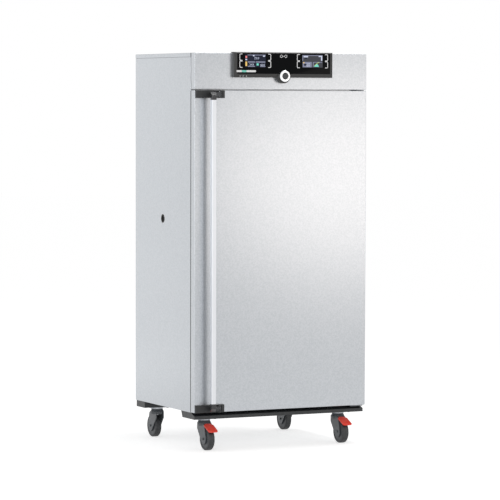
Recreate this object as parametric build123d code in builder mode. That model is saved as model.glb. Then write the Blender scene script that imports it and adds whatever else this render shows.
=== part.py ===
from build123d import *
import os
from math import cos, radians, sin

# Constant climate chamber on casters: 384 litres inside, one insulated door, a glass inner door.
# Millimetres, +Z up from the floor, the front faces -Y, and +X is right as seen from the front.
# The origin is on the floor, at the middle of the chamber's whole width and depth.

os.makedirs("parts", exist_ok=True)

# Outer case
case_width = 824
case_depth = 579
case_bottom = 168
case_top = 1700
sheet = 1.5
bend = 2
return_width = 20
cover_lip = 17
cover_groove = 1
fascia_height = 154.5
unit_depth = 164

# Door
door_thickness = 34
door_seam = 7
door_gap = 4
door_floor_gap = 0.5
door_corner = 2
plug_reach = 15
plug_side_gap = 14
plug_taper = 4
gasket_width = 14
gasket_play = 0.3

# Door hinges, on the right
hinge_inset = 16
hinge_pin_radius = 5
bush_radius = 8
bush_length = 22
hinge_plate = 3
hinge_plate_depth = 62
hinge_plate_width = 60
upper_plate_width = 34
running_play = 0.05
part_play = 0.3

# Handle and its two latches
handle_reach = 56
bar_width = 21.5
bar_depth = 20
bar_wall = 2.5
bar_corner = 3
bar_end_gap = 42
latch_length = 134
latch_height = 33
latch_depth = 12
latch_edge_gap = 3
latch_corner = 2
lever_pivot_inset = 112
lever_pivot_reach = 11
lever_hub_radius = 9.5
lever_hub_height = 21
lever_pin_radius = 3
lever_slot_play = 0.5
lever_cap_height = 20
lever_tongue = 12
cheek_radius = 8.5

# Chamber inside, from the thickness of the insulated walls around it
side_wall = 92
door_overlap = 86.5
rear_wall = 58
rib_count = 18
rib_height = 12
rib_reach = 5

# Glass inner door
pane_thickness = 6
pane_side_gap = 6
pane_setback = 15
glass_hinge_setback = 10
glass_hinge_inset = 6
glass_hinge_radius = 4.5
glass_hinge_length = 50
glass_hinge_lug = 3.2
glass_pin_radius = 2.5

# Shelves
shelf_ribs = (6, 12)
shelf_frame_radius = 3
shelf_wire_radius = 1.5
shelf_wires = 19
shelf_front_gap = 8
shelf_duct_gap = 19
shelf_side_gap = 2

# Air duct, fan and thermoelectric unit at the back
duct_depth = 33
duct_side_gap = 20
duct_end_gap = 40
fan_radius = 72
fan_depth = 20
fan_above_unit = 430
fan_blades = 9
unit_rise = 465
sink_width = 400
sink_height = 300
sink_fins = 17
cold_fin_depth = 18
hot_fin_depth = 60
sink_base = 6
module_size = 40
module_rows = 2
module_columns = 4

# Rear housing with two exhaust fans
housing_side_gap = 152
housing_height = 700
steam_x = -170
steam_rise = 100
steam_radius = 6
exhaust_spread = 230
exhaust_radius = 76
exhaust_hub = 27
exhaust_blades = 7
exhaust_frame = 172
exhaust_frame_depth = 38
guard_thickness = 4
guard_wire = 3
guard_pitch = 16
guard_rings = 5

# Control cockpit on the fascia
cockpit_width = 471
cockpit_height = 108
cockpit_depth = 22
cockpit_rise = 4.5
cockpit_hook = 12
bezel_side = 13
bezel_bottom = 15.5
bezel_top = 4
bezel_slope = 4
glass_sheet = 2
display_width = 98
display_height = 53
display_spacing = 274
display_drop = 37.5
knob_rise = 6.5
knob_lobe = 31
knob_radius = 24.4
knob_depth = 13
knob_collar = 15
button_radius = 12.8
button_travel = 1.5
switch_inset = 41.5
switch_width = 20
switch_rise = 6

# Port in the left wall
port_rise = 731
port_setback = 326
port_radius = 19
port_wall = 2

# Base frame and casters
beam_inset = 5.5
beam_front_setback = 10
beam_bottom = 139
beam_wall = 3
front_beam_depth = 136
rear_beam_depth = 88
beam_nose = 14.5
beam_slope_depth = 40
caster_inset = 88
caster_trail = 31
caster_rear_setback = 38
wheel_radius = 50
wheel_width = 28
rim_radius = 39
axle_radius = 5
fork_gap = 15.5
fork_leg = 4
fork_eye = 24
crown_height = 106
crown_thickness = 10
kingpin_radius = 6
caster_plate_width = 96
caster_plate_depth = 74
caster_plate_thickness = 4
race_radius = 26
pedal_width = 44
pedal_thickness = 4

# Electronics above the chamber
cable_hole = 20
board_width = 300
board_depth = 180
board_thickness = 1.6
standoff = 10
chip_side = 50
relay_width = 60
relay_depth = 45
relay_height = 26
terminal_length = 200
terminal_side = 14
supply_width = 160
supply_depth = 220
supply_height = 60

# Places worked out from the sizes above
total_depth = handle_reach + door_thickness + door_seam + case_depth + unit_depth
front = handle_reach - total_depth / 2
door_back = front + door_thickness
case_front = door_back + door_seam
case_back = case_front + case_depth
panel_back = case_back - sheet
unit_back = case_back + unit_depth
housing_back = unit_back - guard_thickness
half_width = case_width / 2
half_frame = half_width - 2 * sheet
fascia_bottom = case_top - fascia_height
door_bottom = case_bottom + door_floor_gap
door_top = fascia_bottom - door_gap
door_height = door_top - door_bottom
door_middle = (door_top + door_bottom) / 2
panel_top = case_top - cover_lip - cover_groove
frame_front = case_front + sheet
liner_front = frame_front + sheet
pane_front = case_front + pane_setback
chamber_front = pane_front + pane_thickness
chamber_width = case_width - 2 * side_wall
chamber_height = door_height - 2 * door_overlap
chamber_back = case_back - rear_wall
chamber_depth = chamber_back - chamber_front
chamber_bottom = door_middle - chamber_height / 2
chamber_top = chamber_bottom + chamber_height
half_chamber = chamber_width / 2
rib_pitch = chamber_height / (rib_count + 2)
rib_first = 1.25 * rib_pitch
glass_hinge_x = half_chamber - glass_hinge_inset
glass_hinge_y = case_front + glass_hinge_setback
glass_hinge_heights = [door_middle + side * 3 / 8 * chamber_height for side in (-1, 1)]
shelf_depth = chamber_depth - duct_depth - shelf_front_gap - shelf_duct_gap
duct_width = chamber_width - 2 * duct_side_gap
duct_height = chamber_height - 2 * duct_end_gap
deck_height = fascia_bottom
unit_height = chamber_bottom + unit_rise
fan_height = unit_height + fan_above_unit
port_height = chamber_bottom + port_rise
housing_width = case_width - 2 * housing_side_gap
cockpit_top = case_top + cockpit_rise
cockpit_bottom = cockpit_top - cockpit_height
display_height_at = cockpit_top - display_drop
knob_height_at = cockpit_bottom + knob_rise
switch_at = switch_inset - cockpit_width / 2
caster_spread = case_width - 2 * caster_inset
housing_bottom = unit_height - housing_height / 2
housing_top = unit_height + housing_height / 2
hinge_x = half_width - hinge_inset
hinge_y = front + hinge_inset


def block(x, y, z, mode=Mode.ADD):
    """A box between two corners, each side given as (from, to)."""
    centre = ((x[0] + x[1]) / 2, (y[0] + y[1]) / 2, (z[0] + z[1]) / 2)
    with Locations(centre):
        Box(abs(x[1] - x[0]), abs(y[1] - y[0]), abs(z[1] - z[0]), mode=mode)


def rod(start, end, radius, mode=Mode.ADD):
    """A round bar or hole between two points."""
    path = Vector(*end) - Vector(*start)
    with BuildSketch(Plane(origin=start, z_dir=path.normalized())) as section:
        Circle(radius)
    extrude(section.sketch, amount=path.length, mode=mode)


def folded(plane, points, thickness, amount, mode=Mode.ADD):
    """Folded sheet: the outside line of its section, its thickness inwards and its length."""
    with BuildSketch(plane) as section:
        with BuildLine():
            FilletPolyline(*points, radius=bend)
            offset(amount=thickness, side=Side.LEFT)
        make_face()
    extrude(section.sketch, amount=amount, mode=mode)


def ring(outer, inner, plane, amount, mode=Mode.ADD):
    """A flat ring or disc extruded from a plane."""
    with BuildSketch(plane) as section:
        Circle(outer)
        if inner:
            Circle(inner, mode=Mode.SUBTRACT)
    extrude(section.sketch, amount=amount, mode=mode)


def facing_back(x, y, z):
    """A plane whose normal points to the back; its X is the chamber's X and its Y points down."""
    return Plane(origin=(x, y, z), x_dir=(1, 0, 0), z_dir=(0, 1, 0))


def save(part, name):
    part.label = name
    export_step(part, f"parts/{name}.step")


# Side panels: one folded sheet each, with a return at the front and one at the back.
# The left one has the hole of the entry port.
port_y = front + port_setback

with BuildPart() as side_panel_left:
    folded(
        Plane.XY.offset(case_bottom),
        [
            (-half_width + return_width, case_back),
            (-half_width, case_back),
            (-half_width, case_front),
            (-half_width + return_width, case_front),
        ],
        sheet,
        panel_top - case_bottom,
    )
    rod(
        (-half_width - 1, port_y, port_height),
        (-half_width + sheet + 1, port_y, port_height),
        port_radius + port_wall,
        Mode.SUBTRACT,
    )
save(side_panel_left.part, "side_panel_left")

with BuildPart() as side_panel_right:
    folded(
        Plane.XY.offset(case_bottom),
        [
            (half_width - return_width, case_front),
            (half_width, case_front),
            (half_width, case_back),
            (half_width - return_width, case_back),
        ],
        sheet,
        panel_top - case_bottom,
    )
save(side_panel_right.part, "side_panel_right")

# Top cover: a pan turned upside down, its lips flush with the side panels below them.
with BuildPart() as top_cover:
    block(
        (-half_width, half_width),
        (case_front, case_back),
        (case_top - cover_lip, case_top),
    )
    fillet(top_cover.edges().filter_by(Axis.Y).group_by(Axis.Z)[-1], bend)
    offset(amount=-sheet, openings=top_cover.faces().sort_by(Axis.Z)[0])
save(top_cover.part, "top_cover")

# Floor pan between the side panels.
with BuildPart() as floor_pan:
    block(
        (-half_width + sheet, half_width - sheet),
        (frame_front + sheet, case_back - 2 * sheet),
        (case_bottom, case_bottom + sheet),
    )
save(floor_pan.part, "floor_pan")

# Rear panel, behind which the thermoelectric unit stands.
steam_z = housing_bottom + steam_rise
window_width = sink_width + 2 * sink_base
window_height = sink_height + 2 * sink_base
inlet_x = -300
inlet_z = case_top - 95
inlet_width = 28
inlet_height = 48
motor_radius = 32

with BuildPart() as rear_panel:
    block(
        (-half_frame, half_frame),
        (panel_back - sheet, panel_back),
        (case_bottom, case_top - sheet),
    )
    block(
        (-window_width / 2, window_width / 2),
        (case_back - 3 * sheet, case_back),
        (unit_height - window_height / 2, unit_height + window_height / 2),
        Mode.SUBTRACT,
    )
    block(
        (inlet_x - inlet_width / 2, inlet_x + inlet_width / 2),
        (case_back - 3 * sheet, case_back),
        (inlet_z - inlet_height / 2, inlet_z + inlet_height / 2),
        Mode.SUBTRACT,
    )
    rod(
        (steam_x, case_back - 3 * sheet, steam_z),
        (steam_x, case_back, steam_z),
        steam_radius + part_play,
        Mode.SUBTRACT,
    )
save(rear_panel.part, "rear_panel")

# Front frame: the flat steel face that the door gasket closes on, round the chamber's mouth,
# with the deck folded back from it that carries the electronics above the insulation.
with BuildPart() as front_frame:
    block(
        (-half_frame, half_frame),
        (frame_front, liner_front),
        (case_bottom, case_top - sheet),
    )
    block(
        (-half_chamber, half_chamber),
        (frame_front - 1, liner_front + 1),
        (chamber_bottom, chamber_top),
        Mode.SUBTRACT,
    )
    rod(
        (0, frame_front - 1, display_height_at - cable_hole),
        (0, liner_front + 1, display_height_at - cable_hole),
        cable_hole,
        Mode.SUBTRACT,
    )
    block(
        (-half_frame, half_frame),
        (frame_front, panel_back - sheet),
        (deck_height, deck_height + sheet),
    )
save(front_frame.part, "front_frame")

# Inner liner: the stainless chamber, with pressed ribs on both side walls that carry the shelves,
# and the lugs and pins of the glass door's two hinges.
rib_heights = [chamber_bottom + rib_first + i * rib_pitch for i in range(rib_count)]
rib_clear = 4

with BuildPart() as inner_liner:
    block(
        (-half_chamber - sheet, half_chamber + sheet),
        (liner_front, chamber_back + sheet),
        (chamber_bottom - sheet, chamber_top + sheet),
    )
    offset(amount=-sheet, openings=inner_liner.faces().sort_by(Axis.Y)[0])
    for side in (-1, 1):
        with BuildSketch(facing_back(0, chamber_front + rib_clear, 0)) as rib_faces:
            for height in rib_heights:
                with BuildLine():
                    Polyline(
                        (side * half_chamber, -height - rib_height / 2),
                        (side * (half_chamber - rib_reach), -height - rib_height / 4),
                        (side * (half_chamber - rib_reach), -height + rib_height / 4),
                        (side * half_chamber, -height + rib_height / 2),
                        close=True,
                    )
                make_face()
        extrude(rib_faces.sketch, amount=chamber_depth - duct_depth - 2 * rib_clear)
    rod(
        (-half_chamber - sheet - 1, port_y, port_height),
        (-half_chamber + rib_reach + 1, port_y, port_height),
        port_radius + port_wall,
        Mode.SUBTRACT,
    )
    block(
        (-window_width / 2, window_width / 2),
        (chamber_back - 1, chamber_back + sheet + 1),
        (unit_height - window_height / 2, unit_height + window_height / 2),
        Mode.SUBTRACT,
    )
    rod(
        (0, chamber_back - 1, fan_height),
        (0, chamber_back + sheet + 1, fan_height),
        motor_radius,
        Mode.SUBTRACT,
    )
    rod(
        (steam_x, chamber_back - 1, steam_z),
        (steam_x, chamber_back + sheet + 1, steam_z),
        steam_radius + part_play,
        Mode.SUBTRACT,
    )
    for hinge_z in glass_hinge_heights:
        for side in (-1, 1):
            block(
                (glass_hinge_x - glass_hinge_lug, half_chamber),
                (glass_hinge_y - glass_hinge_lug, glass_hinge_y + glass_hinge_lug),
                (
                    hinge_z + side * (glass_hinge_length / 2 + part_play),
                    hinge_z + side * (glass_hinge_length / 2 + 8),
                ),
            )
        rod(
            (glass_hinge_x, glass_hinge_y, hinge_z - glass_hinge_length / 2 - 1),
            (glass_hinge_x, glass_hinge_y, hinge_z + glass_hinge_length / 2 + 1),
            glass_pin_radius,
        )
save(inner_liner.part, "inner_liner")


# Heat insulation between the case and the liner, with cut-outs for what passes through it.
pad_pitch_x = 95
pad_pitch_z = 130
pocket_play = 2
sink_flange_width = window_width + 4 * sink_base
sink_flange_height = window_height + 4 * sink_base
module_thickness = 4

with BuildPart() as case_insulation:
    block(
        (-half_width + sheet, half_width - sheet),
        (liner_front, panel_back - sheet),
        (case_bottom + sheet, deck_height),
    )
    block(
        (-half_chamber - sheet, half_chamber + sheet),
        (liner_front - 1, chamber_back + sheet),
        (chamber_bottom - sheet, chamber_top + sheet),
        Mode.SUBTRACT,
    )
    rod(
        (-half_width - 1, port_y, port_height),
        (-half_chamber + 1, port_y, port_height),
        port_radius + port_wall,
        Mode.SUBTRACT,
    )
    rod((0, chamber_back, fan_height), (0, case_back, fan_height), motor_radius, Mode.SUBTRACT)
    rod(
        (steam_x, chamber_back, steam_z),
        (steam_x, case_back, steam_z),
        steam_radius + part_play,
        Mode.SUBTRACT,
    )
    block(
        (-sink_flange_width / 2 - part_play, sink_flange_width / 2 + part_play),
        (chamber_back, chamber_back + sheet + sink_base),
        (
            unit_height - sink_flange_height / 2 - part_play,
            unit_height + sink_flange_height / 2 + part_play,
        ),
        Mode.SUBTRACT,
    )
    with BuildSketch(facing_back(0, chamber_back, unit_height)) as pockets:
        with GridLocations(pad_pitch_x, pad_pitch_z, module_columns, module_rows):
            Rectangle(module_size + pocket_play, module_size + pocket_play)
    extrude(pockets.sketch, amount=case_back - chamber_back, mode=Mode.SUBTRACT)
save(case_insulation.part, "case_insulation")

# Two shelf grids: a round frame with thin wires from front to back, resting on the ribs.
shelf_front = chamber_front + shelf_front_gap
half_shelf = half_chamber - shelf_side_gap - shelf_frame_radius
shelf_seat = rib_height / 2 - rib_height / 4 * shelf_side_gap / rib_reach + 2 * running_play

with BuildPart() as shelves:
    for rib in shelf_ribs:
        z = rib_heights[rib] + shelf_seat + shelf_frame_radius
        with BuildSketch(Plane.XY.offset(z)) as frame_outline:
            with Locations((0, shelf_front + shelf_depth / 2)):
                Rectangle(2 * half_shelf + 6, shelf_depth + 6)
                Rectangle(2 * half_shelf - 6, shelf_depth - 6, mode=Mode.SUBTRACT)
        extrude(frame_outline.sketch, amount=shelf_frame_radius, both=True)
        for i in range(shelf_wires):
            x = -half_shelf + (i + 1) * 2 * half_shelf / (shelf_wires + 1)
            rod((x, shelf_front, z), (x, shelf_front + shelf_depth, z), shelf_wire_radius)
save(shelves.part, "shelves")

# Air baffle: a shallow pan against the rear wall, with an intake before the fan and outlet slots.
duct_front = chamber_back - duct_depth
duct_middle = (chamber_bottom + chamber_top) / 2
intake_slots = 12
outlet_slots = 9

with BuildPart() as air_baffle:
    block(
        (-duct_width / 2, duct_width / 2),
        (duct_front, chamber_back),
        (duct_middle - duct_height / 2, duct_middle + duct_height / 2),
    )
    offset(amount=-sheet, openings=air_baffle.faces().sort_by(Axis.Y)[-1])
    with BuildSketch(facing_back(0, duct_front - 1, fan_height)) as intake:
        with PolarLocations(fan_radius * 0.62, intake_slots):
            Rectangle(fan_radius * 0.6, 7)
    extrude(intake.sketch, amount=sheet + 2, mode=Mode.SUBTRACT)
    with BuildSketch(facing_back(0, duct_front - 1, duct_middle)) as outlets:
        with GridLocations(duct_width - 70, 110, 2, outlet_slots):
            Rectangle(36, 8)
    extrude(outlets.sketch, amount=sheet + 2, mode=Mode.SUBTRACT)
save(air_baffle.part, "air_baffle")

# Circulation motor in the rear wall, held by its flange, with a bore for the fan's shaft.
motor_flange = 42
motor_length = 50
shaft_radius = 4

with BuildPart() as circulation_motor:
    rod((0, chamber_back - 2, fan_height), (0, chamber_back, fan_height), motor_flange)
    rod(
        (0, chamber_back, fan_height),
        (0, chamber_back + motor_length, fan_height),
        motor_radius - pocket_play,
    )
    rod(
        (0, chamber_back - 3, fan_height),
        (0, chamber_back + motor_length - 8, fan_height),
        shaft_radius + running_play,
        Mode.SUBTRACT,
    )
save(circulation_motor.part, "circulation_motor")

# Circulation fan: a radial wheel with curved blades between a back disc and a front ring.
fan_back = chamber_back - 2 - 3

with BuildPart() as circulation_fan:
    rod((0, fan_back - 2, fan_height), (0, fan_back, fan_height), fan_radius)
    rod((0, fan_back - fan_depth, fan_height), (0, fan_back, fan_height), 12)
    rod(
        (0, fan_back - fan_depth, fan_height),
        (0, chamber_back + motor_length - 12, fan_height),
        shaft_radius,
    )
    with BuildSketch(facing_back(0, fan_back - fan_depth, fan_height)) as blades:
        with PolarLocations(0, fan_blades):
            with BuildLine():
                ThreePointArc((30, 0), (52, 8), (fan_radius - 1, 2))
                ThreePointArc((fan_radius - 1, 2), (52, 11), (30, 0))
            make_face()
    extrude(blades.sketch, amount=fan_depth)
    ring(
        fan_radius,
        fan_radius - 14,
        facing_back(0, fan_back - fan_depth, fan_height),
        2,
    )
save(circulation_fan.part, "circulation_fan")

# Cold sink: its flange closes the liner's window from behind, its fins reach into the air duct
# and its pads pass through the insulation to the modules.
sink_front = chamber_back + sheet

with BuildPart() as cold_sink:
    block(
        (-sink_flange_width / 2, sink_flange_width / 2),
        (sink_front, sink_front + sink_base),
        (unit_height - sink_flange_height / 2, unit_height + sink_flange_height / 2),
    )
    with BuildSketch(facing_back(0, sink_front, unit_height)) as fins:
        with GridLocations(sink_width / sink_fins, 0, sink_fins, 1):
            Rectangle(3, sink_height)
    extrude(fins.sketch, amount=-cold_fin_depth - sheet)
    with BuildSketch(facing_back(0, sink_front + sink_base, unit_height)) as pads:
        with GridLocations(pad_pitch_x, pad_pitch_z, module_columns, module_rows):
            Rectangle(module_size, module_size)
    extrude(pads.sketch, amount=panel_back - module_thickness - sink_front - sink_base)
save(cold_sink.part, "cold_sink")

# Thermoelectric modules: ceramic tiles clamped between the pads and the hot sink.
with BuildPart() as thermoelectric_modules:
    with BuildSketch(facing_back(0, panel_back - module_thickness, unit_height)) as tiles:
        with GridLocations(pad_pitch_x, pad_pitch_z, module_columns, module_rows):
            Rectangle(module_size, module_size)
    extrude(tiles.sketch, amount=module_thickness)
save(thermoelectric_modules.part, "thermoelectric_modules")

# Hot sink on the back of the case, under the rear housing.
with BuildPart() as hot_sink:
    block(
        (-sink_width / 2 - 12, sink_width / 2 + 12),
        (panel_back, panel_back + sink_base),
        (unit_height - sink_height / 2 - 12, unit_height + sink_height / 2 + 12),
    )
    with BuildSketch(facing_back(0, panel_back + sink_base, unit_height)) as hot_fins:
        with GridLocations(sink_width / sink_fins, 0, sink_fins, 1):
            Rectangle(3, sink_height)
    extrude(hot_fins.sketch, amount=hot_fin_depth)
save(hot_sink.part, "hot_sink")

# Rear housing: a sheet box over the unit, with louvres on its sides and an opening at each fan.
louvre_rows = 12
spigot_radius = 4
spigot_length = 15
pipe_radius = 6
pipe_end = housing_bottom - 1
spigot_y = panel_back + 45

with BuildPart() as rear_housing:
    block(
        (-housing_width / 2, housing_width / 2),
        (panel_back, housing_back),
        (housing_bottom, housing_top),
    )
    fillet(rear_housing.edges().filter_by(Axis.Z).group_by(Axis.Y)[-1], bend)
    offset(amount=-sheet, openings=rear_housing.faces().sort_by(Axis.Y)[0])
    with BuildSketch(Plane.YZ.offset(-housing_width / 2 - 1)) as louvres:
        with Locations(((case_back + unit_back) / 2, unit_height)):
            with GridLocations(0, housing_height / (louvre_rows + 2), 1, louvre_rows):
                Rectangle(unit_depth * 0.6, 6)
    extrude(louvres.sketch, amount=housing_width + 2, mode=Mode.SUBTRACT)
    for side in (-1, 1):
        x = side * exhaust_spread / 2
        rod(
            (x, housing_back - sheet - 1, unit_height),
            (x, housing_back + 1, unit_height),
            exhaust_radius + 3,
            Mode.SUBTRACT,
        )
    rod(
        (steam_x, spigot_y, housing_bottom - 1),
        (steam_x, spigot_y, housing_bottom + sheet + 1),
        pipe_radius + part_play,
        Mode.SUBTRACT,
    )
save(rear_housing.part, "rear_housing")

# Exhaust fan frames: square frames on the housing's back, with a motor on three struts.
frame_back = housing_back - sheet
frame_start = frame_back - exhaust_frame_depth
exhaust_pin = 3
motor_disc = 8

with BuildPart() as exhaust_fan_frames:
    for side in (-1, 1):
        x = side * exhaust_spread / 2
        with BuildSketch(facing_back(x, frame_start, unit_height)) as frame_section:
            RectangleRounded(exhaust_frame, exhaust_frame, 6)
            Circle(exhaust_radius + 3, mode=Mode.SUBTRACT)
        extrude(frame_section.sketch, amount=exhaust_frame_depth)
        with BuildSketch(facing_back(x, frame_start, unit_height)) as struts:
            Circle(exhaust_hub)
            with PolarLocations(exhaust_radius / 2 + 8, 3):
                Rectangle(exhaust_radius - 8, 6)
        extrude(struts.sketch, amount=motor_disc)
        rod(
            (x, frame_start, unit_height),
            (x, frame_start + exhaust_frame_depth - 14, unit_height),
            exhaust_pin,
        )
save(exhaust_fan_frames.part, "exhaust_fan_frames")

# Finger guards over the two openings: flat wire rings on four spokes.
with BuildPart() as fan_guards:
    for side in (-1, 1):
        x = side * exhaust_spread / 2
        with BuildSketch(facing_back(x, housing_back, unit_height)) as rings:
            for i in range(guard_rings):
                radius = exhaust_radius + 8 - i * guard_pitch
                Circle(radius + guard_wire / 2)
                Circle(radius - guard_wire / 2, mode=Mode.SUBTRACT)
            Rectangle(2 * exhaust_radius + 16, guard_wire)
            Rectangle(guard_wire, 2 * exhaust_radius + 16)
        extrude(rings.sketch, amount=guard_thickness)
save(fan_guards.part, "fan_guards")


def exhaust_impeller(x):
    """An axial fan wheel: a hub and twisted blades, turning on the frame's pin."""
    start = frame_start + motor_disc + part_play
    depth = exhaust_frame_depth - motor_disc - 6
    middle = start + depth / 2
    with BuildPart() as wheel:
        rod((x, start, unit_height), (x, start + depth, unit_height), exhaust_hub)
        for i in range(exhaust_blades):
            angle = radians(i * 360 / exhaust_blades)
            outward = Vector(cos(angle), 0, sin(angle))
            tangent = Vector(-sin(angle), 0, cos(angle))
            sections = []
            for reach, chord, pitch in ((exhaust_hub - 2, 24, 48), (exhaust_radius - 2, 44, 24)):
                slope = tangent * cos(radians(pitch)) + Vector(0, 1, 0) * sin(radians(pitch))
                root = Vector(x, middle, unit_height) + outward * reach
                with BuildSketch(Plane(origin=root, x_dir=slope, z_dir=outward)) as blade:
                    Rectangle(chord, 2)
                sections.append(blade.sketch)
            loft(sections)
        rod(
            (x, start - 1, unit_height),
            (x, start + depth - 4, unit_height),
            exhaust_pin + running_play,
            Mode.SUBTRACT,
        )
    return wheel.part


exhaust_fan_left = exhaust_impeller(-exhaust_spread / 2)
save(exhaust_fan_left, "exhaust_fan_left")
exhaust_fan_right = exhaust_impeller(exhaust_spread / 2)
save(exhaust_fan_right, "exhaust_fan_right")

# Humidifier in the rear housing, with its steam pipe into the duct and its water spigot below.
humidifier_width = 120
humidifier_height = 90
humidifier_depth = 90

with BuildPart() as humidifier:
    block(
        (steam_x - humidifier_width / 2, steam_x + humidifier_width / 2),
        (panel_back, panel_back + humidifier_depth),
        (steam_z - humidifier_height / 2, steam_z + humidifier_height / 2),
    )
    fillet(humidifier.edges().filter_by(Axis.Y), 6)
    rod(
        (steam_x, chamber_back - 8, steam_z),
        (steam_x, case_back + 1, steam_z),
        steam_radius,
    )
    rod((steam_x, spigot_y, pipe_end), (steam_x, spigot_y, steam_z), pipe_radius)
    rod(
        (steam_x, spigot_y, pipe_end - spigot_length),
        (steam_x, spigot_y, pipe_end),
        spigot_radius,
    )
save(humidifier.part, "humidifier")


# Fascia: a pan above the door, with a box frame behind it that stands on the front frame.
fascia_window_width = 420
fascia_window_height = 76
fascia_frame_side = 30
fascia_frame_edge = 20
fascia_frame_wall = 2
cockpit_front = front - cockpit_depth
cockpit_middle = (cockpit_top + cockpit_bottom) / 2

with BuildPart() as fascia:
    block((-half_width, half_width), (front, door_back), (fascia_bottom, case_top))
    fillet(fascia.edges().group_by(Axis.Y)[0] + fascia.edges().filter_by(Axis.Y), door_corner)
    offset(amount=-sheet, openings=fascia.faces().sort_by(Axis.Y)[-1])
    with BuildSketch(facing_back(0, front + sheet, (fascia_bottom + case_top) / 2)) as fascia_frame:
        Rectangle(case_width - 2 * fascia_frame_side, fascia_height - 2 * fascia_frame_edge)
        Rectangle(
            case_width - 2 * fascia_frame_side - 2 * fascia_frame_wall,
            fascia_height - 2 * fascia_frame_edge - 2 * fascia_frame_wall,
            mode=Mode.SUBTRACT,
        )
    extrude(fascia_frame.sketch, amount=frame_front - front - sheet)
    block(
        (-fascia_window_width / 2, fascia_window_width / 2),
        (front - 1, front + sheet + 1),
        (cockpit_middle - fascia_window_height / 2, cockpit_middle + fascia_window_height / 2),
        Mode.SUBTRACT,
    )
save(fascia.part, "fascia")

# Door shell: a folded pan, with a hole for the hinge bush in its top and bottom walls.
with BuildPart() as door_shell:
    block((-half_width, half_width), (front, door_back), (door_bottom, door_top))
    fillet(door_shell.edges().group_by(Axis.Y)[0] + door_shell.edges().filter_by(Axis.Y), door_corner)
    offset(amount=-sheet, openings=door_shell.faces().sort_by(Axis.Y)[-1])
    for z in (door_bottom, door_top):
        rod(
            (hinge_x, hinge_y, z - sheet - 1),
            (hinge_x, hinge_y, z + sheet + 1),
            bush_radius + part_play,
            Mode.SUBTRACT,
        )
save(door_shell.part, "door_shell")

# Hinge bushes pressed into the door, and the brackets whose pins turn in them.
with BuildPart() as hinge_bushes:
    for start, end in ((door_bottom, door_bottom + bush_length), (door_top - bush_length, door_top)):
        rod((hinge_x, hinge_y, start), (hinge_x, hinge_y, end), bush_radius)
        rod(
            (hinge_x, hinge_y, start - 1),
            (hinge_x, hinge_y, end + 1),
            hinge_pin_radius + running_play,
            Mode.SUBTRACT,
        )
save(hinge_bushes.part, "hinge_bushes")

hinge_edge = 8
hinge_flange_height = 22
hinge_plate_top = case_bottom
upper_plate = door_top + door_floor_gap
return_edge = half_width - return_width - 1

with BuildPart() as hinge_brackets:
    block(
        (hinge_x + hinge_edge - upper_plate_width, hinge_x + hinge_edge),
        (hinge_y - hinge_edge, case_front - part_play),
        (upper_plate, upper_plate + hinge_plate),
    )
    block(
        (hinge_x + hinge_edge - upper_plate_width, return_edge),
        (frame_front - hinge_plate, frame_front),
        (upper_plate, upper_plate + hinge_flange_height),
    )
    rod(
        (hinge_x, hinge_y, door_top - bush_length + 2),
        (hinge_x, hinge_y, upper_plate + hinge_plate),
        hinge_pin_radius,
    )
    block(
        (hinge_x + hinge_edge - hinge_plate_width, hinge_x + hinge_edge),
        (hinge_y - hinge_edge, hinge_y - hinge_edge + hinge_plate_depth + 30),
        (hinge_plate_top - hinge_plate - 1, hinge_plate_top),
    )
    rod(
        (hinge_x, hinge_y, hinge_plate_top - hinge_plate),
        (hinge_x, hinge_y, door_bottom + bush_length - 2),
        hinge_pin_radius,
    )
save(hinge_brackets.part, "hinge_brackets")

# Door inner panel: a sheet with a hollow tapered plug that reaches into the chamber's mouth.
plug_width = chamber_width - 2 * plug_side_gap
plug_height = chamber_height - 2 * plug_side_gap
plug_angle = 15

with BuildPart() as door_inner_panel:
    block(
        (-half_width + sheet + part_play, half_width - sheet - part_play),
        (door_back - sheet, door_back),
        (door_bottom + sheet + part_play, door_top - sheet - part_play),
    )
    with BuildSketch(facing_back(0, door_back - sheet, door_middle)) as plug_outside:
        Rectangle(plug_width, plug_height)
    extrude(plug_outside.sketch, amount=plug_reach + sheet, taper=plug_angle)
    with BuildSketch(facing_back(0, door_back - sheet, door_middle)) as plug_inside:
        Rectangle(plug_width - 2 * sheet, plug_height - 2 * sheet)
    extrude(plug_inside.sketch, amount=plug_reach, taper=plug_angle, mode=Mode.SUBTRACT)
save(door_inner_panel.part, "door_inner_panel")

with BuildPart() as door_insulation:
    block(
        (-half_width + sheet + part_play, half_width - sheet - part_play),
        (front + sheet + part_play, door_back - sheet),
        (door_bottom + sheet + part_play, door_top - sheet - part_play),
    )
    with BuildSketch(facing_back(0, door_back - sheet, door_middle)) as plug_filling:
        Rectangle(plug_width - 2 * sheet, plug_height - 2 * sheet)
    extrude(plug_filling.sketch, amount=plug_reach, taper=plug_angle)
    for z in (door_bottom, door_top - bush_length - part_play):
        rod(
            (hinge_x, hinge_y, z),
            (hinge_x, hinge_y, z + bush_length + part_play),
            bush_radius + part_play,
            Mode.SUBTRACT,
        )
save(door_insulation.part, "door_insulation")

# Door gasket: a soft frame on the door that closes on the front frame round the mouth.
gasket_inset = 4

with BuildPart() as door_gasket:
    with BuildSketch(facing_back(0, door_back, door_middle)) as gasket_ring:
        RectangleRounded(
            chamber_width + 2 * gasket_inset + 2 * gasket_width,
            chamber_height + 2 * gasket_inset + 2 * gasket_width,
            8,
        )
        Rectangle(
            chamber_width + 2 * gasket_inset,
            chamber_height + 2 * gasket_inset,
            mode=Mode.SUBTRACT,
        )
    extrude(gasket_ring.sketch, amount=frame_front - door_back - gasket_play)
save(door_gasket.part, "door_gasket")

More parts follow.
